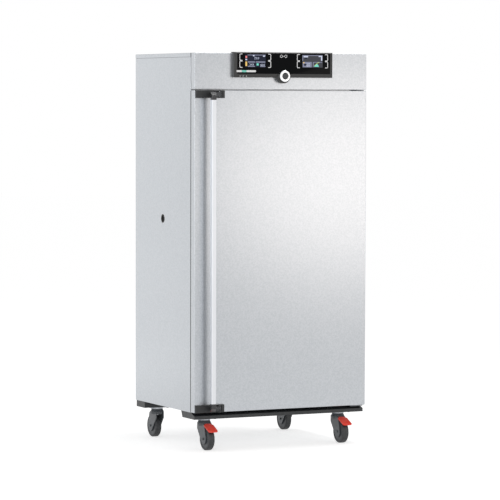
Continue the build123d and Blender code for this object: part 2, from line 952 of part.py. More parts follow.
# The two latches are mirror images about the door's middle height.
latch_left = -half_width + latch_edge_gap
pivot_x = -half_width + lever_pivot_inset
pivot_y = front - lever_pivot_reach
latch_top = door_top
latch_bottom = latch_top - latch_height
latch_middle = (latch_top + latch_bottom) / 2
slot_left = 22
slot_right = 12
pivot_pin_inset = 1
bar_left = pivot_x - 56
bar_front = front - handle_reach
bar_middle_x = bar_left + bar_width / 2
bar_middle_y = bar_front + bar_depth / 2
bar_top = door_top - bar_end_gap + 1
bar_bottom = 2 * door_middle - bar_top
about_middle = Plane.XY.offset(door_middle)

with BuildPart() as latch_housings:
    block((latch_left, latch_left + latch_length), (front - latch_depth, front), (latch_bottom, latch_top))
    fillet(latch_housings.edges().group_by(Axis.Y)[0], latch_corner)
    rod((pivot_x, pivot_y, latch_bottom), (pivot_x, pivot_y, latch_top), cheek_radius)
    block(
        (pivot_x - slot_left, pivot_x + slot_right),
        (front - 2 * latch_depth, front - 1),
        (
            latch_middle - lever_hub_height / 2 - lever_slot_play,
            latch_middle + lever_hub_height / 2 + lever_slot_play,
        ),
        Mode.SUBTRACT,
    )
    rod(
        (pivot_x, pivot_y, latch_bottom - 1),
        (pivot_x, pivot_y, latch_top + 1),
        lever_pin_radius + running_play,
        Mode.SUBTRACT,
    )
    mirror(about=about_middle)
save(latch_housings.part, "latch_housings")

with BuildPart() as latch_pivot_pins:
    rod(
        (pivot_x, pivot_y, latch_bottom + pivot_pin_inset),
        (pivot_x, pivot_y, latch_top - pivot_pin_inset),
        lever_pin_radius,
    )
    mirror(about=about_middle)
save(latch_pivot_pins.part, "latch_pivot_pins")

# Handle bar: a hollow bar with rounded corners, held between the two levers.
with BuildPart() as handle_bar:
    with BuildSketch(Plane.XY.offset(bar_bottom)) as bar_section:
        with Locations((bar_middle_x, bar_middle_y)):
            RectangleRounded(bar_width, bar_depth, bar_corner)
            Rectangle(bar_width - 2 * bar_wall, bar_depth - 2 * bar_wall, mode=Mode.SUBTRACT)
    extrude(bar_section.sketch, amount=bar_top - bar_bottom)
save(handle_bar.part, "handle_bar")

# Latch levers: a hub on the pin, an arm, a sloped cap over the bar's end and a tongue inside it.
lever_rise = 14
hub_bottom = latch_middle - lever_hub_height / 2

with BuildPart() as latch_levers:
    rod(
        (pivot_x, pivot_y, hub_bottom),
        (pivot_x, pivot_y, hub_bottom + lever_hub_height),
        lever_hub_radius,
    )
    with BuildSketch(Plane.XY.offset(hub_bottom)) as arm:
        with BuildLine():
            Polyline(
                (bar_left + 3, bar_front + bar_depth - 1),
                (bar_left + bar_width, bar_front + bar_depth - 14),
                (pivot_x + 0.64 * lever_hub_radius, pivot_y - 0.77 * lever_hub_radius),
                (pivot_x - 0.64 * lever_hub_radius, pivot_y + 0.77 * lever_hub_radius),
                close=True,
            )
        make_face()
    extrude(arm.sketch, amount=lever_hub_height - 1)
    with BuildSketch(Plane.XY.offset(bar_top)) as cap_section:
        with Locations((bar_middle_x, bar_middle_y)):
            RectangleRounded(bar_width, bar_depth, bar_corner)
    extrude(cap_section.sketch, amount=lever_cap_height + lever_rise)
    with BuildSketch(Plane.YZ.offset(bar_left - 5)) as above_cap:
        with BuildLine():
            Polyline(
                (bar_front - 5, bar_top + lever_cap_height - 3.5),
                (bar_front + bar_depth, bar_top + lever_cap_height + lever_rise),
                (bar_front + bar_depth, bar_top + 60),
                (bar_front - 5, bar_top + 60),
                close=True,
            )
        make_face()
    extrude(above_cap.sketch, amount=bar_width + 12, mode=Mode.SUBTRACT)
    with BuildSketch(Plane.XY.offset(bar_top - lever_tongue)) as tongue:
        with Locations((bar_middle_x, bar_middle_y)):
            Rectangle(
                bar_width - 2 * bar_wall - 2 * part_play,
                bar_depth - 2 * bar_wall - 2 * part_play,
            )
    extrude(tongue.sketch, amount=lever_tongue)
    rod(
        (pivot_x, pivot_y, hub_bottom - 1),
        (pivot_x, pivot_y, hub_bottom + lever_hub_height + 1),
        lever_pin_radius + running_play,
        Mode.SUBTRACT,
    )
    mirror(about=about_middle)
save(latch_levers.part, "latch_levers")

# Glass inner door, its hinge leaves with barrels, and its catch.
pane_side = half_chamber - pane_side_gap
pane_bottom = chamber_bottom + pane_side_gap
pane_top = chamber_top - pane_side_gap
leaf_width = 34
leaf_thickness = 2

with BuildPart() as glass_pane:
    block((-pane_side, pane_side - 1), (pane_front, chamber_front), (pane_bottom, pane_top))
save(glass_pane.part, "glass_pane")

with BuildPart() as glass_door_hinges:
    for hinge_z in glass_hinge_heights:
        rod(
            (glass_hinge_x, glass_hinge_y, hinge_z - glass_hinge_length / 2),
            (glass_hinge_x, glass_hinge_y, hinge_z + glass_hinge_length / 2),
            glass_hinge_radius,
        )
        block(
            (glass_hinge_x - leaf_width, glass_hinge_x),
            (pane_front - leaf_thickness, pane_front),
            (hinge_z - glass_hinge_length / 2, hinge_z + glass_hinge_length / 2),
        )
        rod(
            (glass_hinge_x, glass_hinge_y, hinge_z - glass_hinge_length),
            (glass_hinge_x, glass_hinge_y, hinge_z + glass_hinge_length),
            glass_pin_radius + running_play,
            Mode.SUBTRACT,
        )
save(glass_door_hinges.part, "glass_door_hinges")

catch_height = 80
catch_width = 24
catch_thickness = 5

with BuildPart() as glass_door_catch:
    block(
        (-pane_side, -pane_side + catch_width),
        (pane_front - catch_thickness, pane_front),
        (door_middle - catch_height / 2, door_middle + catch_height / 2),
    )
    fillet(glass_door_catch.edges().group_by(Axis.Y)[0], 1.5)
save(glass_door_catch.part, "glass_door_catch")

# Cockpit housing: a shallow hood with sloped edges, a round lobe for the turn control and a lip
# that hooks over the fascia.
glass_left = cockpit_width / 2 - bezel_side
glass_bottom = cockpit_bottom + bezel_bottom
glass_top = cockpit_top - bezel_top
glass_middle = (glass_bottom + glass_top) / 2
glass_height = glass_top - glass_bottom
glass_ledge = 5
hood_wall = 3
glass_back = cockpit_front + glass_sheet
collar_front = cockpit_front - knob_depth - part_play
button_front = collar_front - 1
switch_z = cockpit_bottom + switch_rise
switch_height = 6

with BuildPart() as cockpit_housing:
    block(
        (-cockpit_width / 2, cockpit_width / 2),
        (cockpit_front + bezel_slope, front),
        (cockpit_bottom, cockpit_top),
    )
    with BuildSketch(facing_back(0, cockpit_front + bezel_slope, cockpit_middle)) as hood_edge:
        Rectangle(cockpit_width, cockpit_height)
    with BuildSketch(facing_back(0, cockpit_front, glass_middle)) as hood_face:
        Rectangle(2 * glass_left, glass_height)
    loft([hood_edge.sketch, hood_face.sketch])
    rod((0, cockpit_front, knob_height_at), (0, front, knob_height_at), knob_lobe)
    block(
        (-cockpit_width / 2, cockpit_width / 2),
        (front, front + cockpit_hook),
        (case_top, cockpit_top),
    )
    block(
        (-cockpit_width / 2 + hood_wall, cockpit_width / 2 - hood_wall),
        (glass_back + hood_wall, front),
        (cockpit_bottom + hood_wall, cockpit_top - hood_wall),
        Mode.SUBTRACT,
    )
    block(
        (-glass_left, glass_left),
        (cockpit_front - 1, glass_back),
        (glass_bottom, glass_top),
        Mode.SUBTRACT,
    )
    block(
        (-glass_left + glass_ledge, glass_left - glass_ledge),
        (cockpit_front, glass_back + hood_wall + 1),
        (glass_bottom + glass_ledge, glass_top - glass_ledge),
        Mode.SUBTRACT,
    )
    rod(
        (0, collar_front, knob_height_at),
        (0, glass_back + hood_wall, knob_height_at),
        knob_collar,
    )
    rod(
        (0, collar_front - 1, knob_height_at),
        (0, glass_back + hood_wall + 1, knob_height_at),
        button_radius + running_play,
        Mode.SUBTRACT,
    )
    block(
        (switch_at - switch_width / 2 - part_play, switch_at + switch_width / 2 + part_play),
        (cockpit_front - 1, glass_back + hood_wall + 1),
        (switch_z - switch_height / 2 - part_play, switch_z + switch_height / 2 + part_play),
        Mode.SUBTRACT,
    )
save(cockpit_housing.part, "cockpit_housing")

with BuildPart() as cockpit_glass:
    block(
        (-glass_left + part_play, glass_left - part_play),
        (cockpit_front, glass_back),
        (glass_bottom + part_play, glass_top - part_play),
    )
    rod(
        (0, cockpit_front - 1, knob_height_at),
        (0, glass_back + 1, knob_height_at),
        knob_collar + part_play,
        Mode.SUBTRACT,
    )
save(cockpit_glass.part, "cockpit_glass")

display_thickness = 5

with BuildPart() as displays:
    for side in (-1, 1):
        block(
            (
                side * display_spacing / 2 - display_width / 2,
                side * display_spacing / 2 + display_width / 2,
            ),
            (glass_back, glass_back + display_thickness),
            (display_height_at - display_height / 2, display_height_at + display_height / 2),
        )
save(displays.part, "displays")

# Turn control: a ring round the housing's collar, with the push button in the middle.
with BuildPart() as control_ring:
    ring(
        knob_radius,
        knob_collar + running_play,
        facing_back(0, cockpit_front - part_play - knob_depth, knob_height_at),
        knob_depth,
    )
    outer_edges = control_ring.edges().filter_by(GeomType.CIRCLE).group_by(Axis.Y)[0]
    chamfer(outer_edges.filter_by(lambda edge: edge.radius > knob_collar + 1), 2.5)
save(control_ring.part, "control_ring")

with BuildPart() as confirm_button:
    rod((0, button_front, knob_height_at), (0, glass_back, knob_height_at), button_radius)
    chamfer(confirm_button.edges().filter_by(GeomType.CIRCLE).group_by(Axis.Y)[0], 1)
save(confirm_button.part, "confirm_button")

with BuildPart() as power_switch:
    block(
        (switch_at - switch_width / 2, switch_at + switch_width / 2),
        (cockpit_front + 1, glass_back + hood_wall + 3),
        (switch_z - switch_height / 2, switch_z + switch_height / 2),
    )
save(power_switch.part, "power_switch")

# Entry port: a sleeve through the left wall, and its plug.
port_end = -half_chamber + rib_reach
plug_length = 70

with BuildPart() as port_liner:
    rod(
        (-half_width, port_y, port_height),
        (port_end, port_y, port_height),
        port_radius + port_wall - part_play,
    )
    rod(
        (-half_width - 1, port_y, port_height),
        (port_end + 1, port_y, port_height),
        port_radius,
        Mode.SUBTRACT,
    )
save(port_liner.part, "port_liner")

with BuildPart() as port_plug:
    rod(
        (-half_width + 1, port_y, port_height),
        (-half_width + plug_length, port_y, port_height),
        port_radius - running_play,
    )
    rod(
        (-half_width, port_y, port_height),
        (-half_width + 12, port_y, port_height),
        port_radius - 6,
        Mode.SUBTRACT,
    )
    block(
        (-half_width + 2, -half_width + 13),
        (port_y - 3, port_y + 3),
        (port_height - port_radius + 5, port_height + port_radius - 5),
    )
save(port_plug.part, "port_plug")

# Sensors high in the chamber: a socket on the ceiling with a temperature and a humidity probe.
sensor_x = 200
sensor_y = 60

with BuildPart() as chamber_sensors:
    block((sensor_x - 30, sensor_x + 30), (sensor_y, sensor_y + 60), (chamber_top - 12, chamber_top))
    rod((sensor_x - 15, sensor_y - 70, chamber_top - 7), (sensor_x - 15, sensor_y, chamber_top - 7), 2.5)
    rod((sensor_x + 13, sensor_y - 50, chamber_top - 9), (sensor_x + 13, sensor_y, chamber_top - 9), 6)
save(chamber_sensors.part, "chamber_sensors")

# Controller board on its standoffs and the power supply, both on the deck above the insulation.
deck_top = deck_height + sheet
board_x = -150
board_y = -180
supply_x = 200
supply_y = -60

with BuildPart() as controller_board:
    with Locations((board_x, board_y, deck_top + standoff + board_thickness / 2)):
        Box(board_width, board_depth, board_thickness)
    with Locations((board_x, board_y, deck_top + standoff / 2)):
        with GridLocations(board_width - 16, board_depth - 16, 2, 2):
            Cylinder(4, standoff)
    with Locations((board_x - board_width / 4, board_y, deck_top + standoff + 6)):
        Box(chip_side, chip_side, 10)
    with Locations((board_x + board_width / 4, board_y, deck_top + standoff + relay_height / 2 + 1)):
        Box(relay_width, relay_depth, relay_height)
    with Locations((board_x, board_y - 0.42 * board_depth, deck_top + standoff + terminal_side / 2 + 1)):
        Box(terminal_length, terminal_side, terminal_side)
save(controller_board.part, "controller_board")

with BuildPart() as power_supply:
    block(
        (supply_x - supply_width / 2, supply_x + supply_width / 2),
        (supply_y - supply_depth / 2, supply_y + supply_depth / 2),
        (deck_top, deck_top + supply_height),
    )
    with BuildSketch(Plane.XY.offset(deck_top + supply_height - 3)) as vents:
        with Locations((supply_x, supply_y)):
            with GridLocations(0, 18, 1, 8):
                Rectangle(supply_width - 30, 6)
    extrude(vents.sketch, amount=5, mode=Mode.SUBTRACT)
save(power_supply.part, "power_supply")

# Mains inlet: a socket body through the rear panel with three contact pins in its recess.
inlet_rim = 3
inlet_body_depth = 30
socket_width = 24
socket_height = 16.5
socket_depth = 18
contact_pitch = 7

with BuildPart() as mains_inlet:
    block(
        (inlet_x - inlet_width / 2, inlet_x + inlet_width / 2),
        (panel_back - inlet_body_depth, panel_back),
        (inlet_z - inlet_height / 2, inlet_z + inlet_height / 2),
    )
    block(
        (inlet_x - inlet_width / 2 - inlet_rim, inlet_x + inlet_width / 2 + inlet_rim),
        (panel_back, panel_back + 2),
        (inlet_z - inlet_height / 2 - inlet_rim, inlet_z + inlet_height / 2 + inlet_rim),
    )
    block(
        (inlet_x - socket_width / 2, inlet_x + socket_width / 2),
        (panel_back + 2 - socket_depth, panel_back + 3),
        (inlet_z - socket_height / 2, inlet_z + socket_height / 2),
        Mode.SUBTRACT,
    )
    for step, rise in ((-1, -2), (0, 2), (1, -2)):
        block(
            (inlet_x + step * contact_pitch - 1, inlet_x + step * contact_pitch + 1),
            (panel_back + 1 - socket_depth, panel_back - 3),
            (inlet_z + rise - 2, inlet_z + rise + 2),
        )
save(mains_inlet.part, "mains_inlet")

# Base frame: two folded beams under the floor, the front one with a sloped nose.
beam_half = half_width - beam_inset
beam_front = front + beam_front_setback
front_beam_back = beam_front + front_beam_depth
foot_inset = 13.6

with BuildPart() as front_beam:
    with BuildSketch(Plane.YZ.offset(-beam_half)) as beam_outside:
        with BuildLine():
            Polyline(
                (beam_front, beam_bottom),
                (beam_front, beam_bottom + beam_nose),
                (beam_front + beam_slope_depth, case_bottom),
                (front_beam_back, case_bottom),
                (front_beam_back - foot_inset, beam_bottom),
                close=True,
            )
        make_face()
    extrude(beam_outside.sketch, amount=2 * beam_half)
    with BuildSketch(Plane.YZ.offset(-beam_half + beam_wall)) as beam_inside:
        with BuildLine():
            Polyline(
                (beam_front + beam_wall, beam_bottom + beam_wall),
                (beam_front + beam_wall, beam_bottom + beam_nose - beam_wall / 2),
                (beam_front + beam_slope_depth, case_bottom - beam_wall),
                (beam_front + beam_slope_depth, case_bottom + 1),
                (front_beam_back - beam_wall, case_bottom + 1),
                (front_beam_back - foot_inset - beam_wall, beam_bottom + beam_wall),
                close=True,
            )
        make_face()
    extrude(beam_inside.sketch, amount=2 * beam_half - 2 * beam_wall, mode=Mode.SUBTRACT)
    block(
        (hinge_x + hinge_edge - hinge_plate_width - 1, hinge_x + hinge_edge + 1),
        (hinge_y - hinge_edge - 1, front_beam_back - foot_inset),
        (hinge_plate_top - hinge_plate - 1.5, case_bottom + 1),
        Mode.SUBTRACT,
    )
save(front_beam.part, "front_beam")

rear_beam_front = case_back - rear_beam_depth

with BuildPart() as rear_beam:
    block((-beam_half, beam_half), (rear_beam_front, case_back), (beam_bottom, case_bottom))
    block(
        (-beam_half + beam_wall, beam_half - beam_wall),
        (rear_beam_front + beam_wall, case_back - beam_wall),
        (beam_bottom + beam_wall, case_bottom + 1),
        Mode.SUBTRACT,
    )
save(rear_beam.part, "rear_beam")

# Casters: plates with their races and kingpins, forks, wheels, and the front pair's brake pedals.
front_swivel = front + 88
rear_swivel = case_back - caster_rear_setback
plate_bottom = beam_bottom - caster_plate_thickness
race_bottom = plate_bottom - 6.5
dome_top = race_bottom - 0.5
crown_radius = 30
head_radius = 10
head_height = 4
bolt_radius = 5
caster_places = {
    "fl": (-caster_spread / 2, front_swivel, -1),
    "fr": (caster_spread / 2, front_swivel, -1),
    "rl": (-caster_spread / 2, rear_swivel, 1),
    "rr": (caster_spread / 2, rear_swivel, 1),
}

with BuildPart() as caster_plates:
    for x, y, way in caster_places.values():
        block(
            (x - caster_plate_width / 2, x + caster_plate_width / 2),
            (y - caster_plate_depth / 2, y + caster_plate_depth / 2),
            (plate_bottom, beam_bottom),
        )
        rod((x, y, race_bottom), (x, y, plate_bottom), race_radius)
        rod((x, y, crown_height - head_height - 0.5), (x, y, race_bottom), kingpin_radius)
        rod((x, y, crown_height - head_height - 0.5), (x, y, crown_height - 0.5), head_radius)
        with BuildSketch(Plane.XY.offset(plate_bottom)) as bolt_heads:
            with Locations((x, y)):
                with GridLocations(caster_plate_width - 18, caster_plate_depth - 18, 2, 2):
                    RegularPolygon(bolt_radius, 6)
        extrude(bolt_heads.sketch, amount=-3)
save(caster_plates.part, "caster_plates")

pedal_pivot_ahead = 36
pedal_pivot_z = 105
pedal_pin_radius = 3
pedal_rear_z = 114.3
pedal_length = 68
pedal_slope = 24.4
pedal_neck = 9
pedal_hub = 4
inner_half = 14.8


def caster_fork(x, y, way):
    """A domed crown on the kingpin, two leaf legs beside the wheel, its axle and the pedal's pin."""
    axle_y = y + way * caster_trail
    pivot_y_here = y + way * pedal_pivot_ahead
    with BuildPart() as fork:
        rod((x, y, crown_height), (x, y, crown_height + crown_thickness), crown_radius)
        dome_height = dome_top - crown_height - crown_thickness
        with Locations((x, y, crown_height + crown_thickness + dome_height / 2)):
            Cone(crown_radius, crown_radius - 6, dome_height)
        for side in (-1, 1):
            start = x + side * fork_gap
            with BuildSketch(Plane.YZ.offset(start)) as leaf:
                with Locations((axle_y, wheel_radius)):
                    Circle(fork_eye)
                with Locations((y, crown_height - 3)):
                    Rectangle(2 * crown_radius, 2 * crown_thickness + 6)
                with Locations((pivot_y_here, pedal_pivot_z)):
                    Circle(2 * pedal_pin_radius)
                make_hull()
            extrude(leaf.sketch, amount=side * fork_leg)
        rod(
            (x - fork_gap - fork_leg - 4, axle_y, wheel_radius),
            (x + fork_gap + fork_leg + 4, axle_y, wheel_radius),
            axle_radius,
        )
        if way < 0:
            rod(
                (x - fork_gap - 1, pivot_y_here, pedal_pivot_z),
                (x + fork_gap + 1, pivot_y_here, pedal_pivot_z),
                pedal_pin_radius,
            )
        rod(
            (x, y, crown_height - 1),
            (x, y, dome_top + 1),
            kingpin_radius + running_play,
            Mode.SUBTRACT,
        )
    return fork.part


def caster_wheel(x, y, way):
    """A wheel centre with a hub and a soft tyre round it, as two solids."""
    axle_y = y + way * caster_trail
    with BuildPart() as wheel:
        half = wheel_width / 2
        with BuildSketch(Plane.YZ.offset(x)) as tyre:
            with Locations((axle_y, wheel_radius)):
                Circle(wheel_radius)
                Circle(rim_radius + 0.1, mode=Mode.SUBTRACT)
        extrude(tyre.sketch, amount=half, both=True)
        tread = wheel.edges().filter_by(GeomType.CIRCLE).filter_by(lambda edge: edge.radius > 45)
        fillet(tread, 5)
        rod((x - half + 1, axle_y, wheel_radius), (x + half - 1, axle_y, wheel_radius), rim_radius)
        for side in (-1, 1):
            ring(
                rim_radius - 5,
                0,
                Plane.YZ.offset(x + side * 5),
                side * half,
                Mode.SUBTRACT,
            )
        rod(
            (x - fork_gap + part_play, axle_y, wheel_radius),
            (x + fork_gap - part_play, axle_y, wheel_radius),
            11,
        )
        rod(
            (x - 2 * half, axle_y, wheel_radius),
            (x + 2 * half, axle_y, wheel_radius),
            axle_radius + running_play,
            Mode.SUBTRACT,
        )
    return wheel.part


def brake_pedal(x, y):
    """A sloped foot plate on a hub, with a curved shoe that presses on the tyre."""
    axle_y = y - caster_trail
    hub_y = y - pedal_pivot_ahead
    slope = radians(pedal_slope)
    top_face = Plane(
        origin=(x, hub_y + 0.5, pedal_rear_z),
        x_dir=(1, 0, 0),
        z_dir=(0, -sin(slope), cos(slope)),
    )
    with BuildPart() as pedal:
        with BuildSketch(top_face) as foot_plate:
            with Locations((0, -pedal_neck - (pedal_length - pedal_neck) / 2)):
                Rectangle(pedal_width, pedal_length - pedal_neck)
            fillet(foot_plate.vertices().sort_by(Axis.Y)[:2], 9)
            with Locations((0, -pedal_neck / 2 - 2)):
                Rectangle(2 * inner_half, pedal_neck + 4)
        extrude(foot_plate.sketch, amount=-pedal_thickness)
        rod((x - inner_half, hub_y, pedal_pivot_z), (x + inner_half, hub_y, pedal_pivot_z), pedal_hub)
        block(
            (x - inner_half, x + inner_half),
            (hub_y - pedal_hub, hub_y + 0.5),
            (pedal_pivot_z, pedal_rear_z - pedal_thickness),
        )
        block(
            (x - 11, x + 11),
            (axle_y - 23, axle_y - 9),
            (wheel_radius + 42, wheel_radius + 54),
        )
        rod(
            (x - wheel_width, axle_y, wheel_radius),
            (x + wheel_width, axle_y, wheel_radius),
            wheel_radius + part_play,
            Mode.SUBTRACT,
        )
        rod(
            (x - wheel_width, hub_y, pedal_pivot_z),
            (x + wheel_width, hub_y, pedal_pivot_z),
            pedal_pin_radius + running_play,
            Mode.SUBTRACT,
        )
    return pedal.part


for corner, (x, y, way) in caster_places.items():
    save(caster_fork(x, y, way), f"caster_fork_{corner}")
    save(caster_wheel(x, y, way), f"caster_wheel_{corner}")

save(brake_pedal(-caster_spread / 2, front_swivel), "brake_pedal_left")
save(brake_pedal(caster_spread / 2, front_swivel), "brake_pedal_right")
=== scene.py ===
# %% [markdown]
# # A constant climate chamber
# The CAD parts come in as a fixed frame: every sheet, lever and caster is already where it belongs,
# in metres. This lesson dresses them: a camera that looks as the photograph does, plain studio
# light, a finish for each material, and the small things that a CAD part leaves out.

# %% Load the CAD frame
import math

import bmesh
import bpy
from mathutils import Matrix, Vector


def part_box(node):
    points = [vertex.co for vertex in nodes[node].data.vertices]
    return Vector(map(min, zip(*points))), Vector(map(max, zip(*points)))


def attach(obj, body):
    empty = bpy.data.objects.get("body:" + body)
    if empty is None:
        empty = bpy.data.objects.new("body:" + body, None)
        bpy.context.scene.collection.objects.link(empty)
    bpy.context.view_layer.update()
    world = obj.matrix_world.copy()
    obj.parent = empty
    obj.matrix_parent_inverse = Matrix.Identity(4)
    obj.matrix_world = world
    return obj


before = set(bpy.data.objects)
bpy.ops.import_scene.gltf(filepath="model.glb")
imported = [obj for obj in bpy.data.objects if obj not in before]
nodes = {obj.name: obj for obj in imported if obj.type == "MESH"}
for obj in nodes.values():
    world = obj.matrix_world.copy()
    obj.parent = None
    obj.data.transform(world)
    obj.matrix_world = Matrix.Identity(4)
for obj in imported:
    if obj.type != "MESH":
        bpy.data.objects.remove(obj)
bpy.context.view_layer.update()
scene = bpy.context.scene
scene.view_settings.view_transform = "Standard"
MM = 0.001

# %% [markdown]
# ## The camera
# The photograph was taken from far away with a long lens, so upright edges hardly lean. Seven
# numbers say it all: a place, three angles, the focal length and the small shift of the picture's
# centre. They were fitted to the corners of the case before anything was modelled.

# %% Camera
CAMERA_PLACE = Vector((-5.517, -11.367, 1.504))
CAMERA_YAW = math.radians(26.0)
CAMERA_PITCH = math.radians(-3.13)
CAMERA_ROLL = math.radians(0.13)
FOCAL_PIXELS = 2862.7
PICTURE_PIXELS = 500
SENSOR = 36

forward = Vector((
    math.sin(CAMERA_YAW) * math.cos(CAMERA_PITCH),
    math.cos(CAMERA_YAW) * math.cos(CAMERA_PITCH),
    math.sin(CAMERA_PITCH),
))
level_right = Vector((math.cos(CAMERA_YAW), -math.sin(CAMERA_YAW), 0))
level_up = level_right.cross(forward)
right = level_right * math.cos(CAMERA_ROLL) + level_up * math.sin(CAMERA_ROLL)
up = level_up * math.cos(CAMERA_ROLL) - level_right * math.sin(CAMERA_ROLL)

camera_data = bpy.data.cameras.new("camera")
camera_data.sensor_width = SENSOR
camera_data.lens = FOCAL_PIXELS * SENSOR / PICTURE_PIXELS
camera_data.shift_x = 0.0004
camera_data.shift_y = 0.0114
camera_data.clip_end = 100
camera = bpy.data.objects.new("camera", camera_data)
turn = Matrix((right, up, -forward)).transposed()
camera.matrix_world = Matrix.Translation(CAMERA_PLACE) @ turn.to_4x4()
scene.collection.objects.link(camera)
scene.camera = camera
print("lens in mm:", round(camera_data.lens, 1))

# %% [markdown]
# ## Nodes and colours
# Every finish below is a small tree of shader nodes. One function adds a node with its settings and
# links, and one turns a colour as a painter writes it into the linear light that the shader wants.

# %% Helpers for materials
def colour(code):
    """A hex colour such as #C0C4C8 as linear light."""
    parts = [int(code[i : i + 2], 16) / 255 for i in (1, 3, 5)]
    linear = [p / 12.92 if p <= 0.04045 else ((p + 0.055) / 1.055) ** 2.4 for p in parts]
    return (*linear, 1.0)


def add(tree, kind, inputs=None, **settings):
    """A node with its settings; an input is a value, or another node's output to link."""
    made = tree.nodes.new(kind)
    for key, value in settings.items():
        setattr(made, key, value)
    for key, value in (inputs or {}).items():
        if isinstance(value, bpy.types.NodeSocket):
            tree.links.new(value, made.inputs[key])
        else:
            made.inputs[key].default_value = value
    return made


def start(name, code, metallic, roughness, **more):
    """A new material with one Principled shader; returns the material, its tree and the shader."""
    material = bpy.data.materials.new(name)
    material.use_nodes = True
    tree = material.node_tree
    shader = tree.nodes["Principled BSDF"]
    shader.inputs["Base Color"].default_value = colour(code)
    shader.inputs["Metallic"].default_value = metallic
    shader.inputs["Roughness"].default_value = roughness
    for key, value in more.items():
        shader.inputs[key.replace("_", " ")].default_value = value
    return material, tree, shader


def place(tree, scale=(1, 1, 1)):
    """The object's own coordinates in metres, stretched by a scale along each axis."""
    coordinates = add(tree, "ShaderNodeTexCoord")
    mapping = add(tree, "ShaderNodeMapping", {"Vector": coordinates.outputs["Object"], "Scale": scale})
    return mapping.outputs["Vector"]


def mottle(tree, vector, size_mm, detail=3, rough=0.5):
    """A noise whose patches are about that many millimetres across."""
    noise = add(
        tree, "ShaderNodeTexNoise",
        {"Vector": vector, "Scale": 1 / (size_mm * MM), "Detail": detail, "Roughness": rough},
    )
    return noise.outputs["Fac"]


def ramp(tree, factor, low, high, code_low, code_high):
    """A colour that runs from one to another between two values of a factor."""
    made = add(tree, "ShaderNodeValToRGB", {"Fac": factor})
    made.color_ramp.elements[0].position = low
    made.color_ramp.elements[1].position = high
    made.color_ramp.elements[0].color = colour(code_low)
    made.color_ramp.elements[1].color = colour(code_high)
    return made.outputs["Color"]


def spread(tree, factor, low, high):
    """A factor spread onto the range from low to high."""
    made = add(tree, "ShaderNodeMapRange", {"Value": factor, "To Min": low, "To Max": high})
    return made.outputs["Result"]


def roughen(tree, shader, height, strength, distance_mm):
    """Bump from a height, that deep in millimetres."""
    bump = add(
        tree, "ShaderNodeBump",
        {"Height": height, "Strength": strength, "Distance": distance_mm * MM},
    )
    tree.links.new(bump.outputs["Normal"], shader.inputs["Normal"])


# %% [markdown]
# ## Stainless steel
# The case is textured stainless sheet: rollers press a fine, irregular grain into it, so it shows
# no brush lines and hardly any reflections, only a soft pale sheen. The real grain is about half a
# millimetre, finer than a pixel of the picture, so a second, coarser mottle of a few millimetres
# is laid over it that still shows from where the camera stands.

# %% Stainless finishes
def textured_stainless(name, dark, light, roughness):
    material, tree, shader = start(name, dark, 1.0, roughness)
    vector = place(tree)
    grain = mottle(tree, vector, 6, 2, 0.6)
    tree.links.new(ramp(tree, grain, 0.36, 0.64, dark, light), shader.inputs["Base Color"])
    tree.links.new(spread(tree, grain, roughness - 0.02, roughness + 0.02), shader.inputs["Roughness"])
    roughen(tree, shader, mottle(tree, vector, 0.9, 2), 0.25, 0.08)
    return material


case_steel = textured_stainless("textured_stainless_steel", "#B0B4B8", "#BBBEC2", 0.33)


def brushed(name, dark, light, roughness, stretch, size_mm=0.6):
    """Metal with fine straight lines along the axis whose stretch is small."""
    material, tree, shader = start(name, dark, 1.0, roughness)
    lines = mottle(tree, place(tree, stretch), size_mm, 4, 0.7)
    tree.links.new(ramp(tree, lines, 0.3, 0.7, dark, light), shader.inputs["Base Color"])
    tree.links.new(spread(tree, lines, roughness - 0.06, roughness + 0.08), shader.inputs["Roughness"])
    roughen(tree, shader, lines, 0.15, 0.03)
    return material


chamber_steel = brushed("cold_rolled_stainless_steel", "#BFC2C5", "#D0D2D4", 0.3, (0.02, 1, 1))
wire_steel = brushed("electropolished_steel_wire", "#C9CCCE", "#DADCDD", 0.18, (1, 0.05, 1))
bar_aluminium = brushed("bright_anodised_aluminium", "#CDCFD3", "#D9DBDE", 0.5, (1, 1, 0.02))
ring_aluminium = brushed("turned_aluminium", "#E2E4E6", "#F2F3F4", 0.25, (1, 1, 1), 0.4)
galvanised = textured_stainless("galvanised_sheet", "#A4A9AC", "#C3C7C9", 0.35)
zinc_bright = textured_stainless("zinc_plated_steel", "#9A9DA2", "#B4B7BB", 0.35)
zinc_dark = textured_stainless("passivated_zinc_grey", "#6A6D71", "#7C7F83", 0.45)
print("stainless finishes made")

# %% [markdown]
# ## Plastics, rubber and paint
# The control hood, the latches and the fans are moulded plastic with the faint grain of an eroded
# mould. The base frame is steel with a black powder coat, whose skin is slightly wavy like an
# orange's. Rubber is duller still.

# %% Dielectric finishes
def moulded(name, code, roughness, grain_mm=0.5, depth_mm=0.03, light=None):
    material, tree, shader = start(name, code, 0.0, roughness)
    vector = place(tree)
    grain = mottle(tree, vector, grain_mm, 3)
    if light:
        tone = mottle(tree, vector, 18, 3)
        tree.links.new(ramp(tree, tone, 0.35, 0.65, code, light), shader.inputs["Base Color"])
    tree.links.new(spread(tree, grain, roughness - 0.05, roughness + 0.07), shader.inputs["Roughness"])
    roughen(tree, shader, grain, 0.3, depth_mm)
    return material


